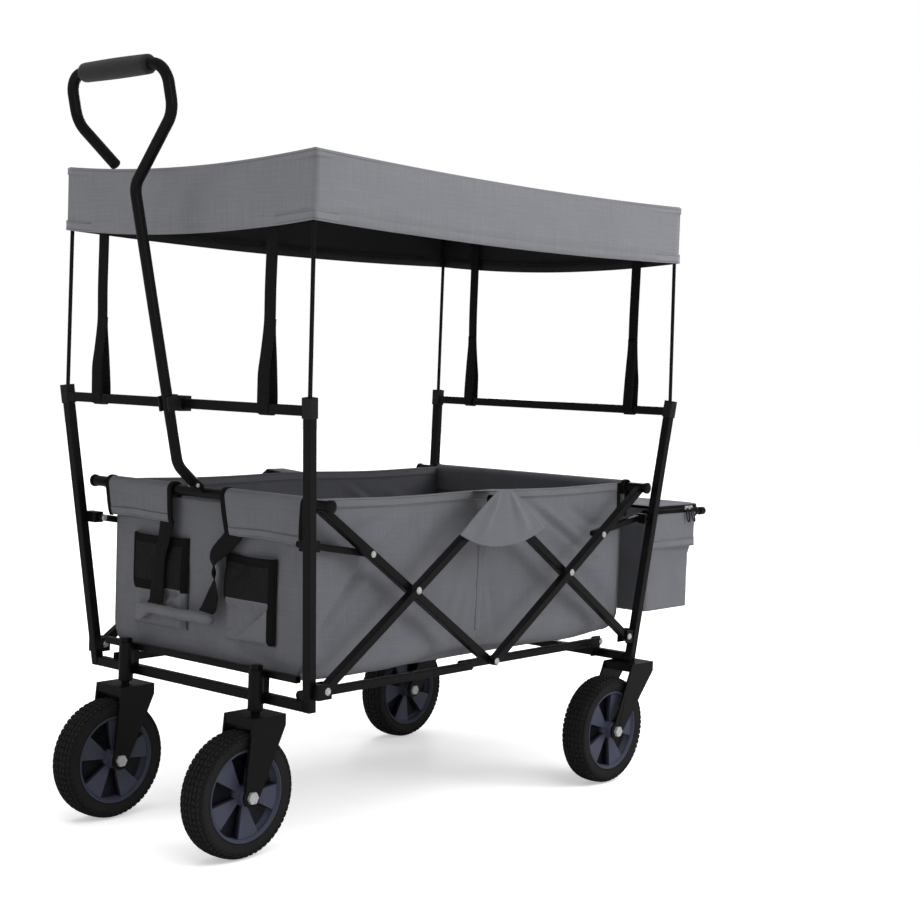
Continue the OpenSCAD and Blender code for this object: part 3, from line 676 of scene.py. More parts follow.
def smooth_path(points, steps=8):
    """A curve that passes through every point, with the ends straight."""
    ends = [points[0] * 2 - points[1]] + points + [points[-1] * 2 - points[-2]]
    curve = []
    for a, b, c, d in zip(ends, ends[1:], ends[2:], ends[3:]):
        for k in range(steps):
            t = k / steps
            curve.append(0.5 * (2 * b + (c - a) * t + (2 * a - 5 * b + 4 * c - d) * t * t
                                + (3 * b - a - 3 * c + d) * t ** 3))
    return curve + [points[-1]]


def pull_ring(path, radius, sides=24, squeeze=None, first_across=Vector((0, 1, 0))):
    """A closed tube along the path; squeeze says how wide and how thick the ring is at a share of the way."""
    bm = bmesh.new()
    bmesh.ops.create_circle(bm, cap_ends=False, segments=sides, radius=radius)
    edges = bm.edges[:]
    verts = bm.verts[:]
    across = first_across
    last = Matrix.Identity(4)
    for i, point in enumerate(path):
        ahead = (path[min(i + 1, len(path) - 1)] - path[max(i - 1, 0)]).normalized()
        across = (across - ahead * across.dot(ahead)).normalized()
        up = ahead.cross(across)
        wide, thick = squeeze(i / (len(path) - 1)) if squeeze else (1, 1)
        turn = Matrix((across * wide, up * thick, ahead)).transposed().to_4x4()
        station = Matrix.Translation(point) @ turn
        if i:
            made = bmesh.ops.extrude_edge_only(bm, edges=edges)["geom"]
            verts = [g for g in made if isinstance(g, bmesh.types.BMVert)]
            edges = [g for g in made
                     if isinstance(g, bmesh.types.BMEdge) and all(v in verts for v in g.verts)]
        else:
            first = edges
        bmesh.ops.transform(bm, matrix=station @ last.inverted(), verts=verts)
        last = station
    for rim in (first, edges):
        bmesh.ops.edgeloop_fill(bm, edges=rim)
    bmesh.ops.recalc_face_normals(bm, faces=bm.faces)
    return bm


# %% Handle tube and grip
SHAFT_LEAN = 0.2267
LOOP_HALF = 104


def shaft(z, y=0.0):
    return at(-452 - SHAFT_LEAN * (z - 630), y, z)


grip_low, grip_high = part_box("handle_grip")
GRIP_Z = (grip_low.z + grip_high.z) / 2 * 1000
foot = at(-400.5, 0, 514.2)
handle_corners = [foot, shaft(541), shaft(930), shaft(1022, -LOOP_HALF), shaft(GRIP_Z, -LOOP_HALF),
                  shaft(GRIP_Z, LOOP_HALF), shaft(1022, LOOP_HALF), shaft(960.1, 34)]
handle_path = rounded_path(handle_corners, [0.034, 0.030, 0.040, 0.028, 0.028, 0.040], steps=12)
handle = riding_piece("pull_handle_tube", pull_ring(handle_path, 0.008, 28), powder_coat, "handle",
                      slot="frame")
end_edge = handle.modifiers.new("rounded_ends", "BEVEL")
end_edge.width = 0.0015
end_edge.segments = 3
end_edge.limit_method = "ANGLE"
end_edge.angle_limit = math.radians(50)
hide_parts("handle_tube")

grip_centre = (grip_low + grip_high) / 2
grip_half = (grip_high.y - grip_low.y) / 2
grip_stations = [-1, -0.995, -0.985, -0.96, -0.9, -0.7, -0.45, -0.2, 0, 0.2, 0.45, 0.7, 0.9, 0.96, 0.985,
                 0.995, 1]
grip_path = [grip_centre + Vector((0, s * grip_half, 0)) for s in grip_stations]


def grip_swell(share):
    s = grip_stations[round(share * (len(grip_stations) - 1))]
    end = max(0.0, (abs(s) - 0.94) / 0.06)
    swell = (1 - 0.26 * end ** 2.2) * (0.965 + 0.035 * math.cos(s * 2.2))
    return swell, swell


grip = riding_piece("foam_grip", pull_ring(grip_path, 0.0143, 40, grip_swell, Vector((1, 0, 0))), foam,
                    "handle",
                    slot="foam")
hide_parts("handle_grip")
print("handle path of", len(handle_path), "rings; grip", round(grip_half * 2, 3), "m long")

# %% [markdown]
# ## Cloth, as it is cut and sewn
#
# A sheet of cloth starts flat: a grid whose UV map is its place on the cutting table, in metres. A function
# then says where each point of the cut ends up. Noise that depends only on the place gives the same dents in
# every run. Thickness comes last, from Solidify, and the hidden side may have a finish of its own, because
# this cloth is coated on the back; on the tub that back finish is also darkened with painted shade.


# %% Lay out a cut of cloth and hang it
def cut_cloth(columns, rows, width, length, hang):
    """A grid of cloth; hang(u, v) says where the point at shares u of its width and v of its length goes."""
    bm = bmesh.new()
    bmesh.ops.create_grid(bm, x_segments=columns, y_segments=rows, size=0.5)
    cut = bm.loops.layers.uv.new("cut")
    for face in bm.faces:
        for loop in face.loops:
            loop[cut].uv = ((loop.vert.co.x + 0.5) * width, (loop.vert.co.y + 0.5) * length)
    for vert in bm.verts:
        vert.co = hang(vert.co.x + 0.5, vert.co.y + 0.5)
    return bm


def cloth_piece(name, bm, finish, body, thickness, slot="tub_cloth", lining=None, offset=0.0, rounded=False):
    piece = riding_piece(name, bm, finish, body, slot=slot)
    wall = piece.modifiers.new("cloth_thickness", "SOLIDIFY")
    wall.thickness = thickness
    wall.offset = offset
    if lining:
        piece.data.materials.append(lining)
        wall.material_offset = 1
    if rounded:
        soft = piece.modifiers.new("soft_edges", "SUBSURF")
        soft.levels = 1
        soft.render_levels = 1
    return piece


def dent(place, size, depth, seed=0.0):
    """A smooth dent or swell of up to that depth, in patches of that size, both in metres."""
    return depth * noise.noise(place / size + Vector((seed, seed * 0.7, seed * 1.3)))


def crease(x, z, start, end, width):
    """1 on the line from start to end, fading a width away from it and towards its ends."""
    run = Vector((end[0] - start[0], end[1] - start[1]))
    share = ((x - start[0]) * run.x + (z - start[1]) * run.y) / run.length_squared
    off = abs((x - start[0]) * run.y - (z - start[1]) * run.x) / run.length
    fade = math.exp(-((share - 0.5) / 0.42) ** 4)
    return math.exp(-(off / width) ** 2) * fade


# %% [markdown]
# The roof is one panel with its four edges turned down and sewn at the corners, slipped over the tops of the
# rods. It hangs between them: the long edges dip a little, the short front and rear edges more, and the
# middle of the panel most of all. Here the panel is a grid, and its edge is extruded downwards ring by ring,
# so roof and valance are a single sheet.

# %% Canopy
roof_low, roof_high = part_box("canopy")
roof_middle = (roof_low + roof_high) / 2
roof_half = (roof_high - roof_low) / 2
VALANCE = (roof_high.z - roof_low.z) - 0.0005
VALANCE_RINGS = [0.0012, 0.003, 0.006, 0.012, 0.022, 0.034, 0.046, 0.058, 0.070, 0.0805, 0.0812, 0.0855,
                 VALANCE]


def roof_sag(s, t):
    """How far the roof hangs at shares s and t of its half length and half width, in metres."""
    long_edge = 0.0075 * (1 - s * s)
    short_edge = 0.0125 * (1 - t * t)
    middle = 0.016 * (1 - s * s) * (1 - t * t)
    return long_edge * (0.35 + 0.65 * t * t) + short_edge * (0.35 + 0.65 * s * s) + middle


def canopy():
    bm = bmesh.new()
    bmesh.ops.create_grid(bm, x_segments=72, y_segments=44, size=1.0)
    drop = {vert: 0.0 for vert in bm.verts}
    edges = [e for e in bm.edges if e.is_boundary]
    for depth in VALANCE_RINGS:
        made = bmesh.ops.extrude_edge_only(bm, edges=edges)["geom"]
        fresh = {g for g in made if isinstance(g, bmesh.types.BMVert)}
        edges = [g for g in made if isinstance(g, bmesh.types.BMEdge) and g.verts[0] in fresh
                 and g.verts[1] in fresh]
        drop.update({vert: depth for vert in fresh})
    for vert in bm.verts:
        s, t, depth = vert.co.x, vert.co.y, drop[vert]
        place = Vector((s * roof_half.x, t * roof_half.y, -depth))
        sag = roof_sag(s, t) + dent(place, 0.16, 0.003 * (1 - s ** 4) * (1 - t ** 4), 3.0)
        hangs = min(1.0, depth / 0.02)
        bow_x = (1 - t * t) * (dent(place, 0.11, 0.0028, 7.0) - 0.003) * hangs if abs(s) > 0.999 else 0.0
        bow_y = (1 - s ** 4) * (dent(place, 0.14, 0.0036, 9.0) - 0.003) * hangs if abs(t) > 0.999 else 0.0
        hem = 0.0007 if depth >= 0.081 else 0.0
        soft = 0.0012 * (1 - min(1.0, depth / 0.003)) if max(abs(s), abs(t)) > 0.999 else 0.0
        x = s * (roof_half.x - 0.0012 - soft) + math.copysign(bow_x + hem, s) * (abs(s) > 0.999)
        y = t * (roof_half.y - 0.0012 - soft) + math.copysign(bow_y + hem, t) * (abs(t) > 0.999)
        vert.co = roof_middle + Vector((x, y, roof_half.z - 0.001 - sag - depth))
    bmesh.ops.recalc_face_normals(bm, faces=bm.faces)
    up = next(f for f in bm.faces if abs(f.normal.z) > 0.9)
    if up.normal.z < 0:
        bmesh.ops.reverse_faces(bm, faces=bm.faces)
    cut = bm.loops.layers.uv.new("cut")
    for face in bm.faces:
        flat = max(range(3), key=lambda k: abs(face.normal[k]))
        for loop in face.loops:
            p = loop.vert.co
            loop[cut].uv = {0: (p.y, p.z), 1: (p.x, p.z), 2: (p.x, p.y)}[flat]
    return bm


roof = cloth_piece("canopy_cloth", canopy(), canopy_cloth, "rear_frame", 0.0011, "canopy_cloth",
                   lining=canopy_lining, offset=-1.0)
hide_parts("canopy")

# %% Canopy seams
def along_valance(u):
    """A point's place on the way round the valance, as shares of the half length and half width."""
    lengths = [roof_half.x, roof_half.y, roof_half.x, roof_half.y]
    way = u * sum(lengths)
    for side, length in enumerate(lengths):
        if way <= length or side == 3:
            t = max(-1.0, min(1.0, 2 * way / length - 1))
            return [(t, -1.0), (1.0, t), (-t, 1.0), (-1.0, -t)][side]
        way -= length


def valance_band(z_top, z_bottom, proud):
    """A strip round the valance between two depths below the roof's edge, standing proud of the cloth."""
    def hang(u, v):
        s, t = along_valance(u)
        depth = z_top + (z_bottom - z_top) * v
        place = Vector((s * roof_half.x, t * roof_half.y, -depth))
        hangs = min(1.0, depth / 0.02)
        x = s * (roof_half.x - 0.0012)
        y = t * (roof_half.y - 0.0012)
        if abs(s) > 0.999:
            x += math.copysign((1 - t * t) * (dent(place, 0.11, 0.0028, 7.0) - 0.003) * hangs + proud, s)
        if abs(t) > 0.999:
            y += math.copysign((1 - s ** 4) * (dent(place, 0.14, 0.0036, 9.0) - 0.003) * hangs + proud, t)
        return roof_middle + Vector((x, y, roof_half.z - 0.001 - roof_sag(s, t) - depth))
    around = 4 * (roof_half.x + roof_half.y)
    return cut_cloth(320, 3, around, abs(z_bottom - z_top), hang), around


hem_strip, around = valance_band(VALANCE - 0.015, VALANCE + 0.0002, 0.0012)
canopy_hem_piece = cloth_piece("canopy_hem", hem_strip, canopy_hem, "rear_frame", 0.0009, "canopy_cloth")
seam_strip, around = valance_band(0.0015, 0.0117, 0.0007)
canopy_seam = cloth_piece("canopy_roof_seam", seam_strip, canopy_hem, "rear_frame", 0.0008, "canopy_cloth")
for piece in (roof, canopy_hem_piece, canopy_seam):
    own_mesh(piece)

# %% [markdown]
# Strap webbing is a long narrow sheet. A strap is drawn by the line of its middle and the way its width
# lies at each point, so it can hang, turn a corner, twist or loop round a bar.


# %% A strap along a line
def at_share(items, share):
    """The place a share of the way along a list of points, between its two nearest ones."""
    spot = max(0.0, min(1.0, share)) * (len(items) - 1)
    first = min(int(spot), len(items) - 2)
    return items[first].lerp(items[first + 1], spot - first)


def strap(name, points, across, width, finish, body, thickness=0.0013):
    """A strap of webbing; across is one direction, or one for each point."""
    line = smooth_path(points)
    sides = smooth_path(across) if isinstance(across, list) else [across]
    steps = [0.0]
    for a, b in zip(line, line[1:]):
        steps.append(steps[-1] + (b - a).length)
    total = steps[-1]

    def hang(u, v):
        way = v * total
        k = max(0, min(len(steps) - 2, sum(1 for s in steps if s <= way) - 1))
        inside = (way - steps[k]) / max(steps[k + 1] - steps[k], 1e-9)
        centre = line[k].lerp(line[k + 1], inside)
        side = at_share(sides, (k + inside) / (len(line) - 1)) if len(sides) > 1 else sides[0]
        return centre + side.normalized() * (u - 0.5) * width

    bm = cut_cloth(4, max(8, int(total / 0.006)), width, total, hang)
    return cloth_piece(name, bm, finish, body, thickness, "webbing"), total


# %% [markdown]
# Four straps pull the roof down to the upper crossbars, so that wind can't lift it. Each is a length of
# black webbing sewn under the roof. Its lower end goes round the square tube and is sewn back on to itself,
# and the loop stands a little open.

# %% Canopy straps
for end, sign in (("front", -1), ("rear", 1)):
    bar_low, bar_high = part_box(f"{end}_upper_crossbar")
    bar_x = (bar_low.x + bar_high.x) / 2
    bar_half = (bar_high.z - bar_low.z) / 2
    bar_z = (bar_high.z + bar_low.z) / 2
    for side, y in (("left", -0.185), ("right", 0.185)):
        out = sign * 0.0012
        lean = 0.002 if side == "left" else -0.0015
        hang = [(0.0, 0.9695), (0.0, 0.93), (0.0005, 0.87), (-0.0005, 0.80), (0.0, 0.755), (out, 0.735),
                (out * 4, 0.705), (out * 7, 0.68), (out * 7.2, 0.66), (sign * (bar_half + 0.0015), 0.643),
                (sign * (bar_half + 0.0012), bar_z), (sign * (bar_half - 0.0004), bar_z - bar_half - 0.0007),
                (0.0, bar_z - bar_half - 0.0013), (-sign * (bar_half - 0.0004), bar_z - bar_half - 0.0007),
                (-sign * (bar_half + 0.0012), bar_z), (-sign * (bar_half + 0.0015), 0.643),
                (-sign * 0.0072, 0.665), (-sign * 0.0045, 0.70), (-out, 0.735), (-out, 0.752)]
        points = [Vector((bar_x + dx, y + lean * (0.97 - z) / 0.3, z)) for dx, z in hang]
        width_way = Vector((0.10 * sign, 1, 0)).normalized()
        piece, length = strap(f"{end}_canopy_strap_{side}", points, width_way, 0.020, webbing, f"{end}_frame")
        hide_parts(f"{end}_canopy_straps")
        print("strap cut", round(length, 3))

# %% [markdown]
# ## The tub
#
# The tub's two sides and its floor are one cut of cloth that hangs like a letter U between the end walls. It
# is pulled tight towards the corners, so long soft folds run from the middle of the hem down to the feet of
# the scissor, and it is gathered a little where the two halves are seamed in the middle. On the outside it
# has only a few millimetres before it meets the bars, so most of its shape goes inwards.

# %% Sides and floor
TUB_HALF_X = 370.8
TUB_HALF_Y = 209.6
TUB_TOP = 505.0
TUB_FLOOR = 239.4
TUB_CORNER = 40.0
WALL_FLOOR = TUB_FLOOR + 8.0
WALL_RUN = TUB_TOP - TUB_FLOOR - TUB_CORNER
ARC_RUN = math.pi / 2 * TUB_CORNER
FLOOR_RUN = 2 * (TUB_HALF_Y - TUB_CORNER)
TUB_CUT = 2 * (WALL_RUN + ARC_RUN) + FLOOR_RUN


def tub_section(way):
    """Where a point of the U is, its way out of the tub, and how far up the side wall it is, from 0 to 1."""
    turned = way > TUB_CUT / 2
    left = TUB_CUT - way if turned else way
    if left <= WALL_RUN:
        y, z, out_y, out_z = -TUB_HALF_Y, TUB_TOP - left, -1.0, 0.0
    elif left <= WALL_RUN + ARC_RUN:
        angle = (left - WALL_RUN) / TUB_CORNER
        out_y, out_z = -math.cos(angle), -math.sin(angle)
        y = -TUB_HALF_Y + TUB_CORNER + out_y * TUB_CORNER
        z = TUB_FLOOR + TUB_CORNER + out_z * TUB_CORNER
    else:
        y, z, out_y, out_z = -TUB_HALF_Y + TUB_CORNER + left - WALL_RUN - ARC_RUN, TUB_FLOOR, 0.0, -1.0
    if turned:
        y, out_y = -y, -out_y
    return y, z, out_y, out_z


SEAM_X = 14.0


def side_relief(x, z, near):
    """How far the side cloth stands out (+) or is drawn in (-) at a point of the wall, in millimetres."""
    pulled = -15.0 * math.exp(-((x - SEAM_X) / 135) ** 2) * (0.25 + 0.75 * (TUB_TOP - z) / 260)
    folds = (crease(x, z, (-112, 492), (-276, 392), 5) * 3.4
             - crease(x, z, (-124, 486), (-300, 372), 11) * 6.5
             - crease(x, z, (-250, 412), (-362, 292), 6) * 5.0
             - crease(x, z, (-262, 396), (-366, 262), 20) * 6.0
             + crease(x, z, (-236, 402), (-350, 300), 5) * 3.0
             - crease(x, z, (-180, 300), (-80, 400), 22) * 5.0
             - crease(x, z, (-200, 482), (-340, 430), 10) * 3.6
             - crease(x, z, (112, 488), (300, 380), 7) * 5.0
             + crease(x, z, (124, 492), (330, 376), 6) * 3.0
             - crease(x, z, (150, 440), (362, 286), 20) * 6.5
             - crease(x, z, (215, 474), (352, 412), 9) * 3.4
             - crease(x, z, (86, 300), (186, 388), 20) * 4.0
             + crease(x, z, (-60, 300), (-20, 420), 10) * 1.6
             - crease(x, z, (60, 262), (34, 372), 9) * 1.8
             + crease(x, z, (-34, 262), (-12, 352), 7) * 1.5
             - crease(x, z, (-200, 262), (-330, 250), 9) * 1.6
             + crease(x, z, (90, 300), (230, 420), 18) * 1.6)
    seam = -1.5 * math.exp(-((x - SEAM_X) / 2.4) ** 2)
    gather = (1.1 * math.sin((z - 240) / 4.2) * math.exp(-((x - SEAM_X) / 15) ** 2)
              * max(0.0, 1 - (z - 244) / 70))
    soft = 1000 * dent(Vector((x / 1000, near * 0.3, z / 1000)), 0.11, 0.0030, 5.0)
    fine = 1000 * dent(Vector((x / 1000, near * 0.3, z / 1000)), 0.035, 0.0007, 11.0)
    return pulled + folds + seam + gather + soft + fine


def side_fade(x, z):
    """1 in the open cloth, 0 where it is sewn to the end walls and along the hem's stiff top."""
    ends = min(1.0, max(0.0, (TUB_HALF_X - abs(x)) / 30))
    hem = 0.35 + 0.65 * min(1.0, max(0.0, (TUB_TOP - z) / 40))
    return ends * hem


def hem_line(x):
    """The hem sags a little between the corners and the middle, where the flap holds it up."""
    return -2.6 * math.sin(math.pi * min(1.0, abs(x) / TUB_HALF_X)) ** 2


def tub_hang(u, v):
    x = (2 * u - 1) * TUB_HALF_X
    y, z, out_y, out_z = tub_section(v * TUB_CUT)
    near = -1 if y < 0 else 1
    taut = (WALL_FLOOR - TUB_FLOOR) * (abs(x) / TUB_HALF_X) ** 7 * max(0.0, min(1.0, (330 - z) / 50))
    if out_y:
        stand = side_relief(x, z, near) * side_fade(x, z)
        stand = min(stand, 2.4)
        up = min(1.0, max(0.0, (z - 300) / 200))
        return at(x, y + out_y * stand * abs(out_y),
                  z + out_z * min(stand, 0.0) + hem_line(x) * up * up + taut)
    floor_dent = 1000 * dent(Vector((x / 1000, y / 1000, 0.0)), 0.09, 0.0016, 2.0)
    return at(x, y, z + max(0.0, floor_dent) * min(1.0, (TUB_HALF_X - abs(x)) / 30) + taut)


tub_bm = cut_cloth(180, 172, 2 * TUB_HALF_X / 1000, TUB_CUT / 1000, tub_hang)
bmesh.ops.reverse_faces(tub_bm, faces=tub_bm.faces)
tub = cloth_piece("tub_side_and_floor", tub_bm, tub_cloth, "rear_basket", 0.0014, lining=tub_back_with_painted_shade)
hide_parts("basket_cloth")
print("tub cut", round(2 * TUB_HALF_X), "by", round(TUB_CUT), "mm")


# %% [markdown]
# The top edge is folded over twice and sewn down with two rows of stitches, which makes a firmer band 15 mm
# deep. The middle seam is a narrow felled strip. Both follow the cloth under them by asking the same function
# where it is.

# %% Hems and middle seam
def on_side(x, z, near, proud):
    """A point of the side wall, proud of the cloth by some millimetres."""
    y, _, out_y, _ = tub_section(TUB_TOP - z if near < 0 else TUB_CUT - (TUB_TOP - z))
    stand = min(side_relief(x, z, near) * side_fade(x, z), 2.4) + proud
    up = min(1.0, max(0.0, (z - 300) / 200))
    return at(x, y + out_y * stand, z + hem_line(x) * up * up)


soft_sides = [tub]
for side, near in (("left", -1), ("right", 1)):
    for face, proud in (("outer", 0.95), ("inner", -0.95)):
        cut = cut_cloth(180, 4, 2 * TUB_HALF_X / 1000, 0.015,
                        lambda u, v: on_side((2 * u - 1) * TUB_HALF_X, TUB_TOP + 0.3 - 15 * v, near, proud))
        band = cloth_piece(f"tub_hem_{side}_{face}", cut, tub_hem, "rear_basket", 0.0007)
        soft_sides.append(band)
    cut = cut_cloth(3, 60, 0.011, 0.150,
                    lambda u, v: on_side(SEAM_X + 11 * (u - 0.5), 424 - 140 * v, near, 1.0))
    felled = cloth_piece(f"tub_middle_seam_{side}", cut, tub_cloth, "rear_basket", 0.0006)
    soft_sides.append(felled)

# %% [markdown]
# Over the scissor's middle joint each side has a triangular flap, so that little fingers can't reach it. It
# is sewn to the hem, goes out over the joint in a small bump, and drapes down outside the bars: two ridges
# run from the bump to its corners and its lower edge bows downwards.


# %% Side flaps
def flap_hang(near):
    def hang(u, v):
        s = 2 * u - 1
        if v < 0.2:
            t = v / 0.2
            half = 21 - 2 * t
            lift = 2.0 * math.sin(math.pi * t)
            return at(s * half, near * (210 + 46.6 * t), 504.2 + 3.4 * t + lift * (1 - s * s))
        t = (v - 0.2) / 0.8
        half = 19 + 84 * t ** 0.92
        foot = 422 + 24 * abs(s) ** 2.2
        z = 507.6 + (foot - 507.6) * (t ** 0.96)
        ridge = 5.0 * math.exp(-((abs(s) - 0.60) / 0.15) ** 2) * math.sin(math.pi * min(1.0, t * 1.05)) ** 0.7
        belly = 1.6 * math.sin(math.pi * t) * math.exp(-(s / 0.4) ** 2)
        tuck = -2.0 * max(0.0, t - 0.75) * 4 * math.exp(-(s / 0.5) ** 2)
        place = Vector((s * half / 1000, near * 0.2, z / 1000))
        soft = 1000 * dent(place, 0.045, 0.0014, 21.0) * min(1.0, t * 4)
        return at(s * half, near * (256.9 + max(-1.5, ridge + belly + tuck + soft)), z)
    return hang


for side, near in (("left", -1), ("right", 1)):
    cut = cut_cloth(56, 60, 0.21, 0.14, flap_hang(near))
    flap = cloth_piece(f"side_flap_{side}", cut, tub_cloth, "rear_basket", 0.0012)
    soft_sides.append(flap)

for piece in soft_sides:
    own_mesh(piece)

# %% [markdown]
# The two end walls are separate cuts, sewn into the ends of the U with a corded seam that runs down one side,
# along the bottom and up the other. At the top each goes behind its cross tube and comes back over it as a
# deep flap, sewn down in front: that is the sleeve the tub hangs by. The front flap leaves a gap in its
# middle for the foot of the pull handle, and the cut edges there are bound with black tape.


# %% End walls
def wall_half(z):
    """Half of an end wall's width at a height, with its rounded lower corners."""
    rise = TUB_CORNER - (z - WALL_FLOOR)
    if rise <= 0:
        return TUB_HALF_Y
    return TUB_HALF_Y - TUB_CORNER + math.sqrt(max(0.0, TUB_CORNER ** 2 - rise ** 2))


FRONT_FOLDS = [((-60, 300), (-190, 250), 9, -2.0), ((-150, 360), (-200, 300), 10, -2.2),
               ((-152, 412), (-205, 440), 9, 1.6), ((20, 440), (-30, 300), 15, -2.2),
               ((-4, 470), (0, 320), 12, 1.6),
               ((60, 300), (150, 256), 12, -1.8), ((165, 360), (205, 300), 12, -1.8),
               ((40, 290), (-40, 262), 10, -1.6),
               ((170, 420), (205, 330), 14, 1.4)]
REAR_FOLDS = [((-150, 470), (-60, 260), 18, -2.0), ((150, 470), (60, 260), 18, -2.0),
              ((-190, 300), (190, 270), 12, 1.4)]


def wall_hang(end, folds):
    def hang(u, v):
        z = WALL_FLOOR + (487.5 - WALL_FLOOR) * v
        y = (2 * u - 1) * wall_half(z)
        edge = min(1.0, (wall_half(z) - abs(y)) / 22) * min(1.0, (z - WALL_FLOOR) / 22)
        stand = sum(depth * crease(y, z, a, b, wide) for a, b, wide, depth in folds)
        stand += 1000 * dent(Vector((end * 0.4, y / 1000, z / 1000)), 0.08, 0.0026, 31.0)
        return at(end * (372.6 + max(-6.0, min(0.9, stand)) * edge), y, z)
    return hang


def wall(name, end, body, folds, node):
    cut = cut_cloth(120, 80, 2 * TUB_HALF_Y / 1000, (487.5 - WALL_FLOOR) / 1000, wall_hang(end, folds))
    if end < 0:
        bmesh.ops.reverse_faces(cut, faces=cut.faces)
    piece = cloth_piece(name, cut, tub_cloth, body, 0.0014, lining=tub_back_with_painted_shade)
    area = sum(p.area for p in piece.data.polygons)
    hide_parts(node)
    print(name, "cut", round(area, 4), "square metres")
    return piece


wall("front_wall", -1, "front_basket", FRONT_FOLDS, "front_panel")
wall("rear_wall", 1, "rear_basket", REAR_FOLDS, "rear_panel")


def corded_seam(name, end, body):
    """The cord round the edge of an end wall, where it is sewn to the sides and the floor."""
    down = [(-1, 486 - 14 * k) for k in range(15)]
    line = [at(end * 372.2, -TUB_HALF_Y - 0.4, z) for _, z in down]
    for k in range(1, 13):
        angle = k / 12 * math.pi / 2
        line.append(at(end * 372.2, -TUB_HALF_Y + TUB_CORNER - (TUB_CORNER + 0.4) * math.cos(angle),
                       WALL_FLOOR + TUB_CORNER - (TUB_CORNER + 0.4) * math.sin(angle)))
    across = [Vector((p.x, -p.y, p.z)) for p in reversed(line)]
    floor_line = [at(end * 372.2, y, WALL_FLOOR - 0.4) for y in (-120, -60, 0, 60, 120)]
    bm = pull_ring(line + floor_line + across, 0.0015, 10, first_across=Vector((1, 0, 0)))
    # The cord takes the tub's back finish, the coated grey darkened with painted shade.
    return riding_piece(name, bm, tub_back_with_painted_shade, body, slot="tub_cloth")


corded_seam("front_wall_cord", -1, "front_basket")
corded_seam("rear_wall_cord", 1, "rear_basket")

# %% Sleeves: the flaps folded over the cross tubes
SLEEVE_R = 10.3


def sleeve_line(end, foot_z, proud=0.0):
    """The way of a flap round its tube, from behind the wall over the top and down to its sewn foot."""
    line = [(-(TUBE_X - 7.4 + proud), 463.0), (-(TUBE_X - 8.6 + proud), 482.0)]
    r = SLEEVE_R + proud
    for k in range(11):
        angle = math.pi * k / 10
        line.append((-TUBE_X + r * math.cos(angle), TUBE_Z + r * math.sin(angle)))
    line += [(-TUBE_X - r + 0.1, 488.0), (-TUBE_X - r + 0.3, 474.0), (-TUBE_X - r + 1.0, 462.0),
             (-TUBE_X - r + 2.6, foot_z + 3.0), (-TUBE_X - r + 4.2 + proud, foot_z)]
    return [Vector((-end * x, 0.0, z)) for x, z in line]


def sleeve_hang(end, foot_z, edges, proud=0.0):
    """edges gives the flap's two side edges as (y at the tube, y at the foot)."""
    curve = smooth_path(sleeve_line(end, foot_z, proud), 6)
    steps = [0.0]
    for a, b in zip(curve, curve[1:]):
        steps.append(steps[-1] + (b - a).length)

    def hang(u, v):
        way = v * steps[-1]
        k = max(0, min(len(steps) - 2, sum(1 for s in steps if s <= way) - 1))
        point = curve[k].lerp(curve[k + 1], (way - steps[k]) / max(steps[k + 1] - steps[k], 1e-9))
        drop = min(1.0, max(0.0, (TUBE_Z - point.z) / 50)) if v > 0.4 else 0.0
        (tube_a, foot_a), (tube_b, foot_b) = edges
        first = tube_a + (foot_a - tube_a) * drop
        second = tube_b + (foot_b - tube_b) * drop
        y = first + (second - first) * u
        place = Vector((point.x / 1000, y / 1000, point.z / 1000))
        away = (end * (1000 * dent(place, 0.06, 0.0012, 41.0) + 0.6 * math.sin(y / 9.0) * drop)
                * min(1.0, drop * 3))
        dip = 1.2 * math.sin(y / 23.0 + 1.0) * drop
        return at(point.x + away * (0.3 + 0.7 * min(u, 1 - u) * 2), y, point.z + dip)
    return hang, steps[-1]


def sleeve(name, end, body, foot_z, edges, node):
    hang, run = sleeve_hang(end, foot_z, edges)
    wide = (abs(edges[1][0] - edges[0][0]) + abs(edges[1][1] - edges[0][1])) / 2
    columns = max(24, int(wide / 4))
    piece = cloth_piece(name, cut_cloth(columns, 44, wide / 1000, run / 1000, hang), tub_cloth, body, 0.0012)
    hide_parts(node)
    rows = cut_cloth(columns, 4, wide / 1000, 0.013, lambda u, v: sleeve_hem(end, foot_z, edges, u, v))
    hem = cloth_piece(name + "_hem", rows, tub_hem, body, 0.0009)
    print(name, "cut", round(wide), "by", round(run), "mm")
    return piece


def sleeve_hem(end, foot_z, edges, u, v):
    """The sewn-down lower edge: a strip on the flap's face, a millimetre proud of it."""
    hang, run = sleeve_hang(end, foot_z, edges)
    place = hang(u, 1.0 - (13.0 / run) * v)
    return place + Vector((end * 0.0010, 0, 0))


FAR_EDGES = ((64.5, 62.0), (219.0, 211.5))
NEAR_EDGES = ((-219.0, -216.5), (-46.5, -56.0))
sleeve("front_sleeve_right", -1, "front_basket", 451.5, FAR_EDGES, "front_panel")
sleeve("front_sleeve_left", -1, "front_basket", 443.5, NEAR_EDGES, "front_panel")
sleeve("rear_sleeve", 1, "rear_basket", 450.0, ((-219.0, -211.5), (219.0, 211.5)), "rear_panel")


# %% Black binding on the cut edges
def binding(name, end, body, foot_z, edge, inward, width=9.0):
    """Tape folded round a flap's side edge: a sheet a little thicker than the flap, over the same curve."""
    (tube_y, foot_y) = edge
    edges = ((tube_y - inward, foot_y - inward), (tube_y + inward * (width / abs(inward) - 1),
                                                foot_y + inward * (width / abs(inward) - 1)))
    hang, run = sleeve_hang(end, foot_z - 1.0, edges)
    run *= 0.8
    tape = cut_cloth(4, 60, width / 1000, run / 1000, lambda u, v: hang(u, 0.2 + 0.8 * v))
    piece = cloth_piece(name, tape, binding_tape, body, 0.0040,
                        slot="webbing")
    piece.modifiers.new("soft", "BEVEL").width = 0.0008
    return piece


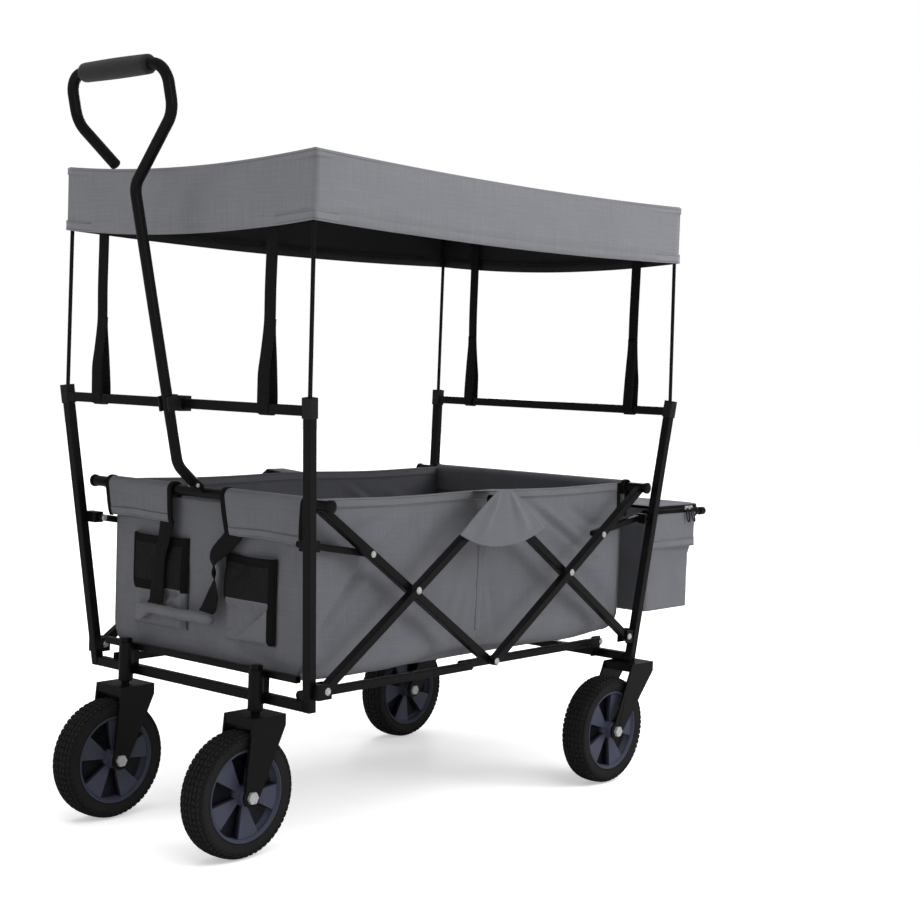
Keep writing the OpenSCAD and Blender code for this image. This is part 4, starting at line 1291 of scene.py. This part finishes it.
binding("binding_gap_right", -1, "front_basket", 451.5, FAR_EDGES[0], 1.0)
binding("binding_gap_left", -1, "front_basket", 443.5, NEAR_EDGES[1], -1.0)
binding("binding_end_right", -1, "front_basket", 451.5, FAR_EDGES[1], -1.0, 8.0)
binding("binding_end_left", -1, "front_basket", 443.5, NEAR_EDGES[0], 1.0, 8.0)
binding("binding_rear_left", 1, "rear_basket", 450.0, (-219.0, -211.5), 1.0, 8.0)
binding("binding_rear_right", 1, "rear_basket", 450.0, (219.0, 211.5), -1.0, 8.0)

# %% [markdown]
# ## Pockets on the front wall
#
# Each pocket is a bag of mesh above and tub cloth below. Its sides go back to the wall and its bottom is sewn
# down flat. A sheet here stands off the wall by a depth that the function works out: full in the middle,
# nothing at the side seams. The cloth below is crumpled, so its depth is the least of several slanting
# planes, and where two planes meet there is a sharp fold.


# %% Pockets
POCKET_BACK = 374.4


def step(value, low, high):
    """0 below low, 1 above high, and a smooth way between them."""
    share = max(0.0, min(1.0, (value - low) / (high - low)))
    return share * share * (3 - 2 * share)


def past_line(y, z, start, end):
    """How many millimetres a place lies to the right of the line from start to end, seen from the front."""
    run = Vector((end[0] - start[0], end[1] - start[1]))
    return ((z - start[1]) * run.x - (y - start[0]) * run.y) / run.length


def pocket_depth(side, y, z, low, high, top):
    """How far the pocket stands off the wall at a place, in millimetres."""
    seam = min(y - low, high - y)
    shape = 9.8 * min(1.0, max(0.0, seam / 7.0)) ** 0.5
    mouth = step(z, top - 44, top)
    if side == "left":
        shape -= 5.5 * mouth * step(y, -125, -70)
        shape -= (3.5 * crease(y, z, (-70, 412), (-128, 366), 7)
                  + 2.4 * crease(y, z, (-112, 412), (-60, 372), 6))
        fold = past_line(y, z, (-146, 345), (-84, 298))
        lower = shape - 7.4 * step(fold, -1.5, 4.5) * step(y, -151, -143)
        lower -= (4.2 * crease(y, z, (-62, 350), (-84, 304), 6.5)
                  + 2.5 * crease(y, z, (-100, 352), (-118, 322), 5))
        lower -= 4.0 * step(-z, -312, -296) * step(y, -92, -60)
    else:
        shape -= 4.5 * mouth * step(-y, -128, -70)
        shape -= 3.4 * crease(y, z, (76, 424), (120, 366), 8) + 2.6 * crease(y, z, (132, 420), (104, 372), 6)
        lower = shape - 5.5 * step(past_line(y, z, (60, 336), (124, 312)), -2, 6)
        lower -= 4.0 * crease(y, z, (52, 348), (74, 318), 5) + 3.0 * crease(y, z, (128, 330), (150, 296), 5)
    blend = step(z, 336, 356)
    foot = max(0.0, min(1.0, (z - 291.2) / 7)) ** 0.55
    rough = 1000 * dent(Vector((0.1, y / 1000, z / 1000)), 0.012, 0.0014, 51.0) * (1 - blend)
    soft = 1000 * dent(Vector((0.1, y / 1000, z / 1000)), 0.03, 0.0012, 57.0)
    stand = shape * blend + lower * (1 - blend) + (rough + soft) * min(1.0, max(0.0, seam / 12))
    return max(0.5, min(10.2, stand)) * foot


def pocket_hang(side, low, high, top, y_span, z_span, proud=0.0):
    def hang(u, v):
        y = y_span[0] + (y_span[1] - y_span[0]) * u
        z = z_span[0] + (z_span[1] - z_span[0]) * v
        stand = pocket_depth(side, y, z, low, high, top) + proud
        dip = 1.5 * math.sin((y - low) / (high - low) * math.pi) * min(1.0, max(0.0, (z - 350) / 60))
        return at(-POCKET_BACK - stand, y, z - dip)
    return hang


POCKETS = {"left": (-153.0, -47.0, 415.0, 353.0, 291.0), "right": (37.0, 159.0, 427.0, 350.0, 291.0)}
for side, (low, high, top, join, bottom) in POCKETS.items():
    parts = [("mesh", pocket_mesh, (low, high), (top, join - 5), 0.0, 0.0008, 52, 32, "webbing"),
             ("cloth", tub_cloth, (low, high), (join, bottom), 0.0, 0.0011, 74, 44, "tub_cloth"),
             ("top_tape", binding_tape, (low, high), (top + 1.2, top - 10.5), 0.3, 0.0019, 52, 4, "webbing"),
             ("tape_near", binding_tape, (low - 0.5, low + 8.0),
              (top + 1.2, bottom + 2 if side == "left" else 346),
              0.35, 0.0019, 10, 60, "webbing"),
             ("tape_far", binding_tape, (high - 8.0, high + 0.5), (top + 1.2, join - 4), 0.35, 0.0019, 10, 40,
              "webbing")]
    if side == "right":
        parts.append(("low_tape", binding_tape, (high - 60, high), (join + 8, join - 6), 0.35, 0.0016, 30, 8,
                      "webbing"))
    for what, finish, y_span, z_span, proud, thick, columns, rows, slot in parts:
        width = abs(y_span[1] - y_span[0]) / 1000
        length = abs(z_span[1] - z_span[0]) / 1000
        cut = cut_cloth(columns, rows, width, length,
                        pocket_hang(side, low, high, top, y_span, z_span, proud))
        piece = cloth_piece(f"pocket_{side}_{what}", cut, finish, "front_basket", thick, slot)
        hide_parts("front_pockets")
print("pockets", {side: round(spec[1] - spec[0]) for side, spec in POCKETS.items()}, "mm wide")

# %% [markdown]
# ## Carry handle of the folded wagon
#
# When the wagon is folded it is carried by a short padded roll that hangs across the front on two straps of
# webbing. The roll is a strip of tub cloth rolled round foam. One end is folded flat where the roll has come
# out of its seam, the other tapers where it is gathered. The near strap has a twist in it, so it looks narrow
# half way down.

# %% Carry roll and its straps
ROLL_X = -394.6
ROLL_Z = 318.0
ROLL_R = 8.4
roll_line = [(-40.0, -1.0), (-37.0, -0.8), (-32.0, -0.4), (-26.0, 0.0), (-16.0, 0.2), (0.0, 0.0),
             (30.0, -0.6), (60.0, -0.2),
             (82.0, 0.6), (90.0, 0.8), (97.0, 0.2), (104.0, -1.4), (112.0, -3.2), (120.0, -5.4),
             (127.0, -7.0),
             (132.0, -7.6)]
roll_path = smooth_path([at(ROLL_X, y, ROLL_Z + dz) for y, dz in roll_line], 5)


def roll_squeeze(share):
    """Width and thickness of the roll along its length: tapered at one end, folded flat at the other."""
    y = -40 + 172 * share
    if y < -18:
        t = max(0.0, (y + 40) / 22)
        return 0.30 + 0.62 * t ** 0.8, 0.16 + 0.84 * t ** 0.7
    if y > 84:
        t = (y - 84) / 48
        return 0.92 + 0.75 * t, 1.0 - 0.78 * min(1.0, t * 1.5) + 0.04 * math.sin(t * 14)
    return 0.92, 1.0


roll_bm = pull_ring(roll_path, ROLL_R / 1000, 40, roll_squeeze, Vector((0, 0, 1)))
roll_cut = roll_bm.loops.layers.uv.new("cut")
for face in roll_bm.faces:
    for loop in face.loops:
        spot = loop.vert.co
        turn = math.atan2(spot.z - at(0, 0, ROLL_Z).z, spot.x - at(ROLL_X, 0, 0).x)
        loop[roll_cut].uv = (spot.y, turn * ROLL_R / 1000)
for vert in roll_bm.verts:
    y = vert.co.y * 1000
    ends = min(1.0, max(0.0, (y - 78) / 20)) + min(1.0, max(0.0, (-14 - y) / 14))
    out = Vector((vert.co.x - at(ROLL_X, 0, 0).x, 0, vert.co.z - at(0, 0, ROLL_Z).z))
    if out.length > 0.0005:
        fold = dent(vert.co, 0.016, 0.0019, 61.0) * ends + dent(vert.co, 0.03, 0.0006, 63.0)
        vert.co += out.normalized() * max(-0.0024, min(0.0012, fold))
roll = riding_piece("carry_roll", roll_bm, tub_cloth, "front_basket", slot="tub_cloth")
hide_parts("carry_bar")
carry_pieces = [roll]

CARRY_STRAPS = {
    "right": ([(-385.4, 75.5, 456), (-386.3, 76.5, 444), (-387.4, 80.5, 424), (-388.2, 86.5, 400),
               (-388.8, 90, 372),
               (-389.4, 91, 345), (-390.6, 91.5, 332), (-393.2, 91.5, 327.4), (-395.4, 91.5, 327.6)],
              [(0, 1, 0.25), (0, 1, 0.25), (0.12, 1, 0.24), (0.18, 1, 0.1), (0.1, 1, 0), (0, 1, 0), (0, 1, 0),
               (0, 1, 0), (0, 1, 0)]),
    "left": ([(-385.6, -80, 452), (-386.2, -72, 443), (-387.4, -56, 428), (-389.0, -40, 414),
              (-389.6, -33, 402),
              (-389.2, -35, 388), (-388.8, -37, 374), (-388.6, -33, 352), (-389.8, -28.5, 336),
              (-392.4, -26.5, 328.4),
              (-395.0, -26, 327.6)],
             [(0, 0.7, 0.72), (0, 0.7, 0.72), (0.1, 0.7, 0.7), (0.2, 0.92, 0.42), (0.45, 0.95, 0.1),
              (0.8, 0.62, 0.0),
              (0.62, 0.8, 0), (0.2, 1, 0.1), (0, 1, 0.16), (0, 1, 0.1), (0, 1, 0.1)])}
for side, (points, across) in CARRY_STRAPS.items():
    piece, length = strap(f"carry_strap_{side}", [at(*p) for p in points], [Vector(a) for a in across], 0.030,
                          webbing,
                          "front_basket", thickness=0.0013)
    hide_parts("carry_bar")
    carry_pieces.append(piece)
for piece in carry_pieces:
    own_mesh(piece)
print("carry roll of", len(roll_path), "rings")

# %% [markdown]
# ## Tail bag
#
# The tail bag hangs on two bent rods that swing out from the rear posts. It is a deep open bag of tub cloth
# with a lid zipped on round three sides. The bag is a cross-shaped cut folded up and seamed at its four
# corners; here that is one sheet that goes down the walls and in under the bottom. It hangs from its rim, so
# below the lid it is a little narrower, and its walls have long soft folds.


# %% Bag and lid
BAG_X = (437.0, 583.5)
BAG_HALF_Y = 226.5
BAG_RIM = 458.0
BAG_FOOT = 277.0


def around(share, x_low, x_high, half_y, corner):
    """A point of a rounded rectangle, and its way out, at a share of the way round from the middle of -X."""
    straight_y, straight_x = 2 * (half_y - corner), x_high - x_low - 2 * corner
    turn = math.pi / 2 * corner
    way = share * (2 * straight_y + 2 * straight_x + 4 * turn)
    legs = [(straight_y / 2, None), (turn, (x_low + corner, -half_y + corner, math.pi)),
            (straight_x, None), (turn, (x_high - corner, -half_y + corner, 1.5 * math.pi)),
            (straight_y, None), (turn, (x_high - corner, half_y - corner, 0.0)),
            (straight_x, None), (turn, (x_low + corner, half_y - corner, 0.5 * math.pi)),
            (straight_y / 2 + 1, None)]
    spots = [(x_low, 0, 0, -1), 0, (x_low + corner, -half_y, 1, 0), 0, (x_high, -half_y + corner, 0, 1), 0,
             (x_high - corner, half_y, -1, 0), 0, (x_low, half_y - corner, 0, -1)]
    for (length, bend), spot in zip(legs, spots):
        if way <= length:
            break
        way -= length
    if bend:
        angle = bend[2] + way / corner
        return (bend[0] + corner * math.cos(angle), bend[1] + corner * math.sin(angle),
                math.cos(angle), math.sin(angle))
    x, y, go_x, go_y = spot
    return x + go_x * way, y + go_y * way, go_y, -go_x


def bag_hang(u, v):
    walls = 0.735
    down = min(1.0, v / walls)
    z = BAG_RIM - (BAG_RIM - BAG_FOOT) * down
    draw = min(1.0, max(0.0, (BAG_RIM - 64 - z) / 24))
    x, y, out_x, out_y = around(u, BAG_X[0] + 2.0 * draw, BAG_X[1] - 4.5 * draw - 2.5 * down * draw,
                                BAG_HALF_Y - 4.0 * draw, 9.0)
    place = Vector((x / 1000, y / 1000, z / 1000))
    loose = math.sin(math.pi * min(1.0, down * 1.02)) if v < walls else 0.0
    long_fold = 1000 * dent(Vector((x / 1000, y / 1000, z / 4000)), 0.05, 0.0030, 71.0)
    soft = 1000 * dent(place, 0.035, 0.0012, 73.0)
    stand = min(0.8, (long_fold + soft - 1.2) * loose)
    x, y = x + out_x * stand, y + out_y * stand
    if v >= walls:
        inwards = (v - walls) / (1 - walls)
        middle = Vector((sum(BAG_X) / 2 - 5, 0))
        flat = Vector((x, y)).lerp(middle, inwards)
        round_off = 3.0 * (1 - inwards) ** 8
        sag = (1000 * dent(Vector((flat.x / 1000, flat.y / 1000, 0)), 0.05, 0.0012, 75.0)
               * min(1.0, inwards * 5))
        return at(flat.x, flat.y, BAG_FOOT - 0.6 + round_off + max(-0.6, sag))
    return at(x, y, z)


def open_hole(bm, x, y, z, radius):
    """Leave a hole in the cloth where a rod goes through."""
    centre = at(x, y, z)
    gone = [f for f in bm.faces if (f.calc_center_median() - centre).length < radius]
    bmesh.ops.delete(bm, geom=gone, context="FACES")


ARM_Y, ARM_Z = 220.0, 447.0
bag_cut = cut_cloth(220, 90, 0.83, 0.518, bag_hang)
bmesh.ops.remove_doubles(bag_cut, verts=bag_cut.verts, dist=0.00005)
bmesh.ops.recalc_face_normals(bag_cut, faces=bag_cut.faces)
for x in BAG_X:
    for near in (-1, 1):
        open_hole(bag_cut, x, near * ARM_Y, ARM_Z, 0.0075)
bag = cloth_piece("tail_bag", bag_cut, tub_cloth, "rear_frame", 0.0014, lining=tub_back_with_painted_shade)
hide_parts("rear_bag")

LID_X = (437.0, 586.5)
LID_HALF_Y = 229.4
LID_TOP = 463.4
LID_FOOT = 386.5


def lid_rim(u):
    """A point of the lid's rim on its three free sides, from the front left corner to the front right."""
    (x_low, x_high), half, corner = LID_X, LID_HALF_Y, 8.0
    side, back, turn = x_high - x_low - corner, 2 * (half - corner), math.pi / 2 * corner
    way = u * (2 * side + back + 2 * turn)
    if way <= side:
        return x_low + way, -half, 0.0, -1.0
    if way <= side + turn:
        angle = (way - side) / corner
        return (x_high - corner + corner * math.sin(angle), -half + corner - corner * math.cos(angle),
                math.sin(angle), -math.cos(angle))
    if way <= side + turn + back:
        return x_high, -half + corner + way - side - turn, 1.0, 0.0
    if way <= side + 2 * turn + back:
        angle = (way - side - turn - back) / corner
        return (x_high - corner + corner * math.cos(angle), half - corner + corner * math.sin(angle),
                math.cos(angle), math.sin(angle))
    return x_high - corner - (way - side - 2 * turn - back), half, 0.0, 1.0


def lid_skirt(u, drop, proud=0.0):
    """A point of the skirt, a share of the way down from the rim."""
    x, y, out_x, out_y = lid_rim(u)
    z = LID_TOP - 1.6 - (LID_TOP - 1.6 - LID_FOOT) * drop
    place = Vector((x / 1000, y / 1000, z / 1000))
    wave = 1.1 * math.sin(drop * 5.0 + u * 9.0) * drop
    loose = (1000 * dent(place, 0.045, 0.0017, 81.0) + wave - 1.0) * min(1.0, drop * 4)
    stand = min(0.7, loose) + proud
    return at(x + out_x * stand, y + out_y * stand, z)


def lid_hang(u, v):
    roof = 0.48
    if v >= roof + 0.02:
        return lid_skirt(u, (v - roof - 0.02) / (1 - roof - 0.02))
    inwards = 1 - v / (roof + 0.02)
    x, y, out_x, out_y = lid_rim(u)
    flat = Vector((x - out_x * 1.2, y - out_y * 1.2)).lerp(Vector((LID_X[0] + 0.5, 0)), inwards)
    edge = min(1.0, min(flat.x - LID_X[0] + 4, LID_X[1] - flat.x, LID_HALF_Y - abs(flat.y)) / 30)
    place = Vector((flat.x / 1000, flat.y / 1000, 0))
    sag = (2.6 + 1000 * dent(place, 0.06, 0.0016, 83.0)) * max(0.0, edge)
    return at(flat.x, flat.y, LID_TOP - 0.1 - max(0.0, sag) - (1.0 if inwards <= 0 else 0.0))


lid_cut = cut_cloth(200, 80, 0.448, 0.292, lid_hang)
bmesh.ops.remove_doubles(lid_cut, verts=lid_cut.verts, dist=0.00005)
bmesh.ops.recalc_face_normals(lid_cut, faces=lid_cut.faces)
for near in (-1, 1):
    open_hole(lid_cut, LID_X[1], near * ARM_Y, ARM_Z, 0.0075)
lid = cloth_piece("tail_bag_lid", lid_cut, tub_cloth, "rear_frame", 0.0012, lining=tub_back_with_painted_shade)
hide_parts("bag_lid")
bag_pieces = [bag, lid]

RIM_RUN = 0.742
lid_hem = cloth_piece("tail_bag_lid_hem", cut_cloth(200, 4, RIM_RUN, 0.015,
                                                    lambda u, v: lid_skirt(u, 1.0 - 0.2 * v, 0.85)),
                      tub_hem, "rear_frame", 0.0006)
bag_pieces.append(lid_hem)
zip_tape = cloth_piece("bag_zip_tape", cut_cloth(200, 4, RIM_RUN, 0.0138,
                                                 lambda u, v: lid_skirt(u, 0.185 - 0.180 * v, 1.0)),
                       binding_tape, "rear_frame", 0.0009, slot="webbing")
bag_pieces.append(zip_tape)
coil_path = [lid_skirt(0.004 + 0.992 * k / 400, 0.086, 1.7 + 0.25 * (k % 2)) for k in range(401)]
coil = riding_piece("bag_zip_coil", pull_ring(coil_path, 0.0014, 8, first_across=Vector((0, 0, 1))),
                    black_nylon,
                    "rear_frame", slot="webbing")
bag_pieces.append(coil)

# %% [markdown]
# The zip has two sliders. Each is a small zinc body with a long loop of black cord to pull. Where the rods
# leave the bag there is a moulded eyelet.


# %% Zip pulls and eyelets
def zip_pull(name, x, lean):
    y = -LID_HALF_Y - 2.6
    bm = bmesh.new()
    bmesh.ops.create_cube(bm, size=1.0, matrix=Matrix.Translation(at(x, y - 0.6, 456.4)) @
                          Matrix.Diagonal((0.010, 0.0032, 0.0065, 1)))
    bmesh.ops.create_cube(bm, size=1.0, matrix=Matrix.Translation(at(x, y - 2.4, 456.4)) @
                          Matrix.Diagonal((0.0058, 0.0022, 0.0022, 1)))
    bmesh.ops.bevel(bm, geom=bm.edges[:], offset=0.0006, segments=2, affect="EDGES", profile=0.6)
    slider = riding_piece(name + "_slider", bm, zinc_plate, "rear_frame", slot="zinc")
    loop_path = []
    for k in range(49):
        angle = 2 * math.pi * (k + 0.4) / 49.8
        reach = 12.5 - 12.5 * math.cos(angle)
        wide = 3.4 * math.sin(angle) * (0.75 + 0.25 * reach / 25)
        loop_path.append(at(x + wide + lean * reach, y - 2.4 - 0.5 * math.sin(angle), 455.8 - reach))
    loop = riding_piece(name + "_loop", pull_ring(loop_path, 0.0013, 10, first_across=Vector((0, 1, 0))),
                        black_nylon, "rear_frame", slot="webbing")
    return [slider, loop]


bag_pieces += zip_pull("zip_pull_front", 546.0, 0.30)
bag_pieces += zip_pull("zip_pull_rear", 559.0, 0.52)
for x, out, what in ((436.2, -1, "front"), (587.6, 1, "rear")):
    for near, side in ((-1, "left"), (1, "right")):
        ring_path = [at(x, near * ARM_Y, ARM_Z) + Vector((0, 0.0078 * math.cos(a), 0.0078 * math.sin(a)))
                     for a in [2 * math.pi * k / 36 for k in range(37)]]
        eyelet = riding_piece(f"bag_eyelet_{what}_{side}",
                              pull_ring(ring_path, 0.0019, 10, first_across=Vector((1, 0, 0))), black_nylon,
                              "rear_frame", slot="webbing")
        bag_pieces.append(eyelet)
for piece in bag_pieces:
    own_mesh(piece)
print("pieces of the tail bag:", len(bag_pieces))

# %% Corner patches and the bolt at the handle's foot
for side, near in (("left", -1), ("right", 1)):
    cut = cut_cloth(8, 40, 0.018, 0.078, lambda u, v: on_side(371.5 - 11 * u * (1 - 0.4 * v), 505.2 - 78 * v,
                                                              near, 1.5))
    patch = cloth_piece(f"rear_corner_patch_{side}", cut, webbing, "rear_basket", 0.0009, slot="webbing")
    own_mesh(patch)

bolt_bm = bmesh.new()
for near in (-1, 1):
    turn = Matrix.Translation(at(-400.5, near * 9.0, 511.0)) @ Matrix.Rotation(math.radians(90), 4, "X")
    bmesh.ops.create_cone(bolt_bm, cap_ends=True, segments=28, radius1=0.0032, radius2=0.0032, depth=0.0020,
                          matrix=turn)
bmesh.ops.bevel(bolt_bm, geom=[e for e in bolt_bm.edges if e.calc_face_angle(0) > 1.0], offset=0.0009,
                segments=3,
                affect="EDGES")
riding_piece("handle_foot_bolt", bolt_bm, zinc_plate, "handle", slot="zinc")

# %% Rivets where the links meet the braces
for end, outer in (("front", 239.0), ("rear", 252.5)):
    sign = -1 if end == "front" else 1
    for side, near in (("left", -1), ("right", 1)):
        head = bmesh.new()
        bmesh.ops.create_uvsphere(head, u_segments=28, v_segments=14, radius=0.0050)
        flatten = (Matrix.Translation(at(sign * 269.5, near * (outer + 0.1), 425.1))
                   @ Matrix.Diagonal((1, 0.45, 1, 1)))
        bmesh.ops.transform(head, matrix=flatten, verts=head.verts)
        riding_piece(f"{end}_link_rivet_{side}", head, zinc_plate, f"{end}_braces", slot="zinc")
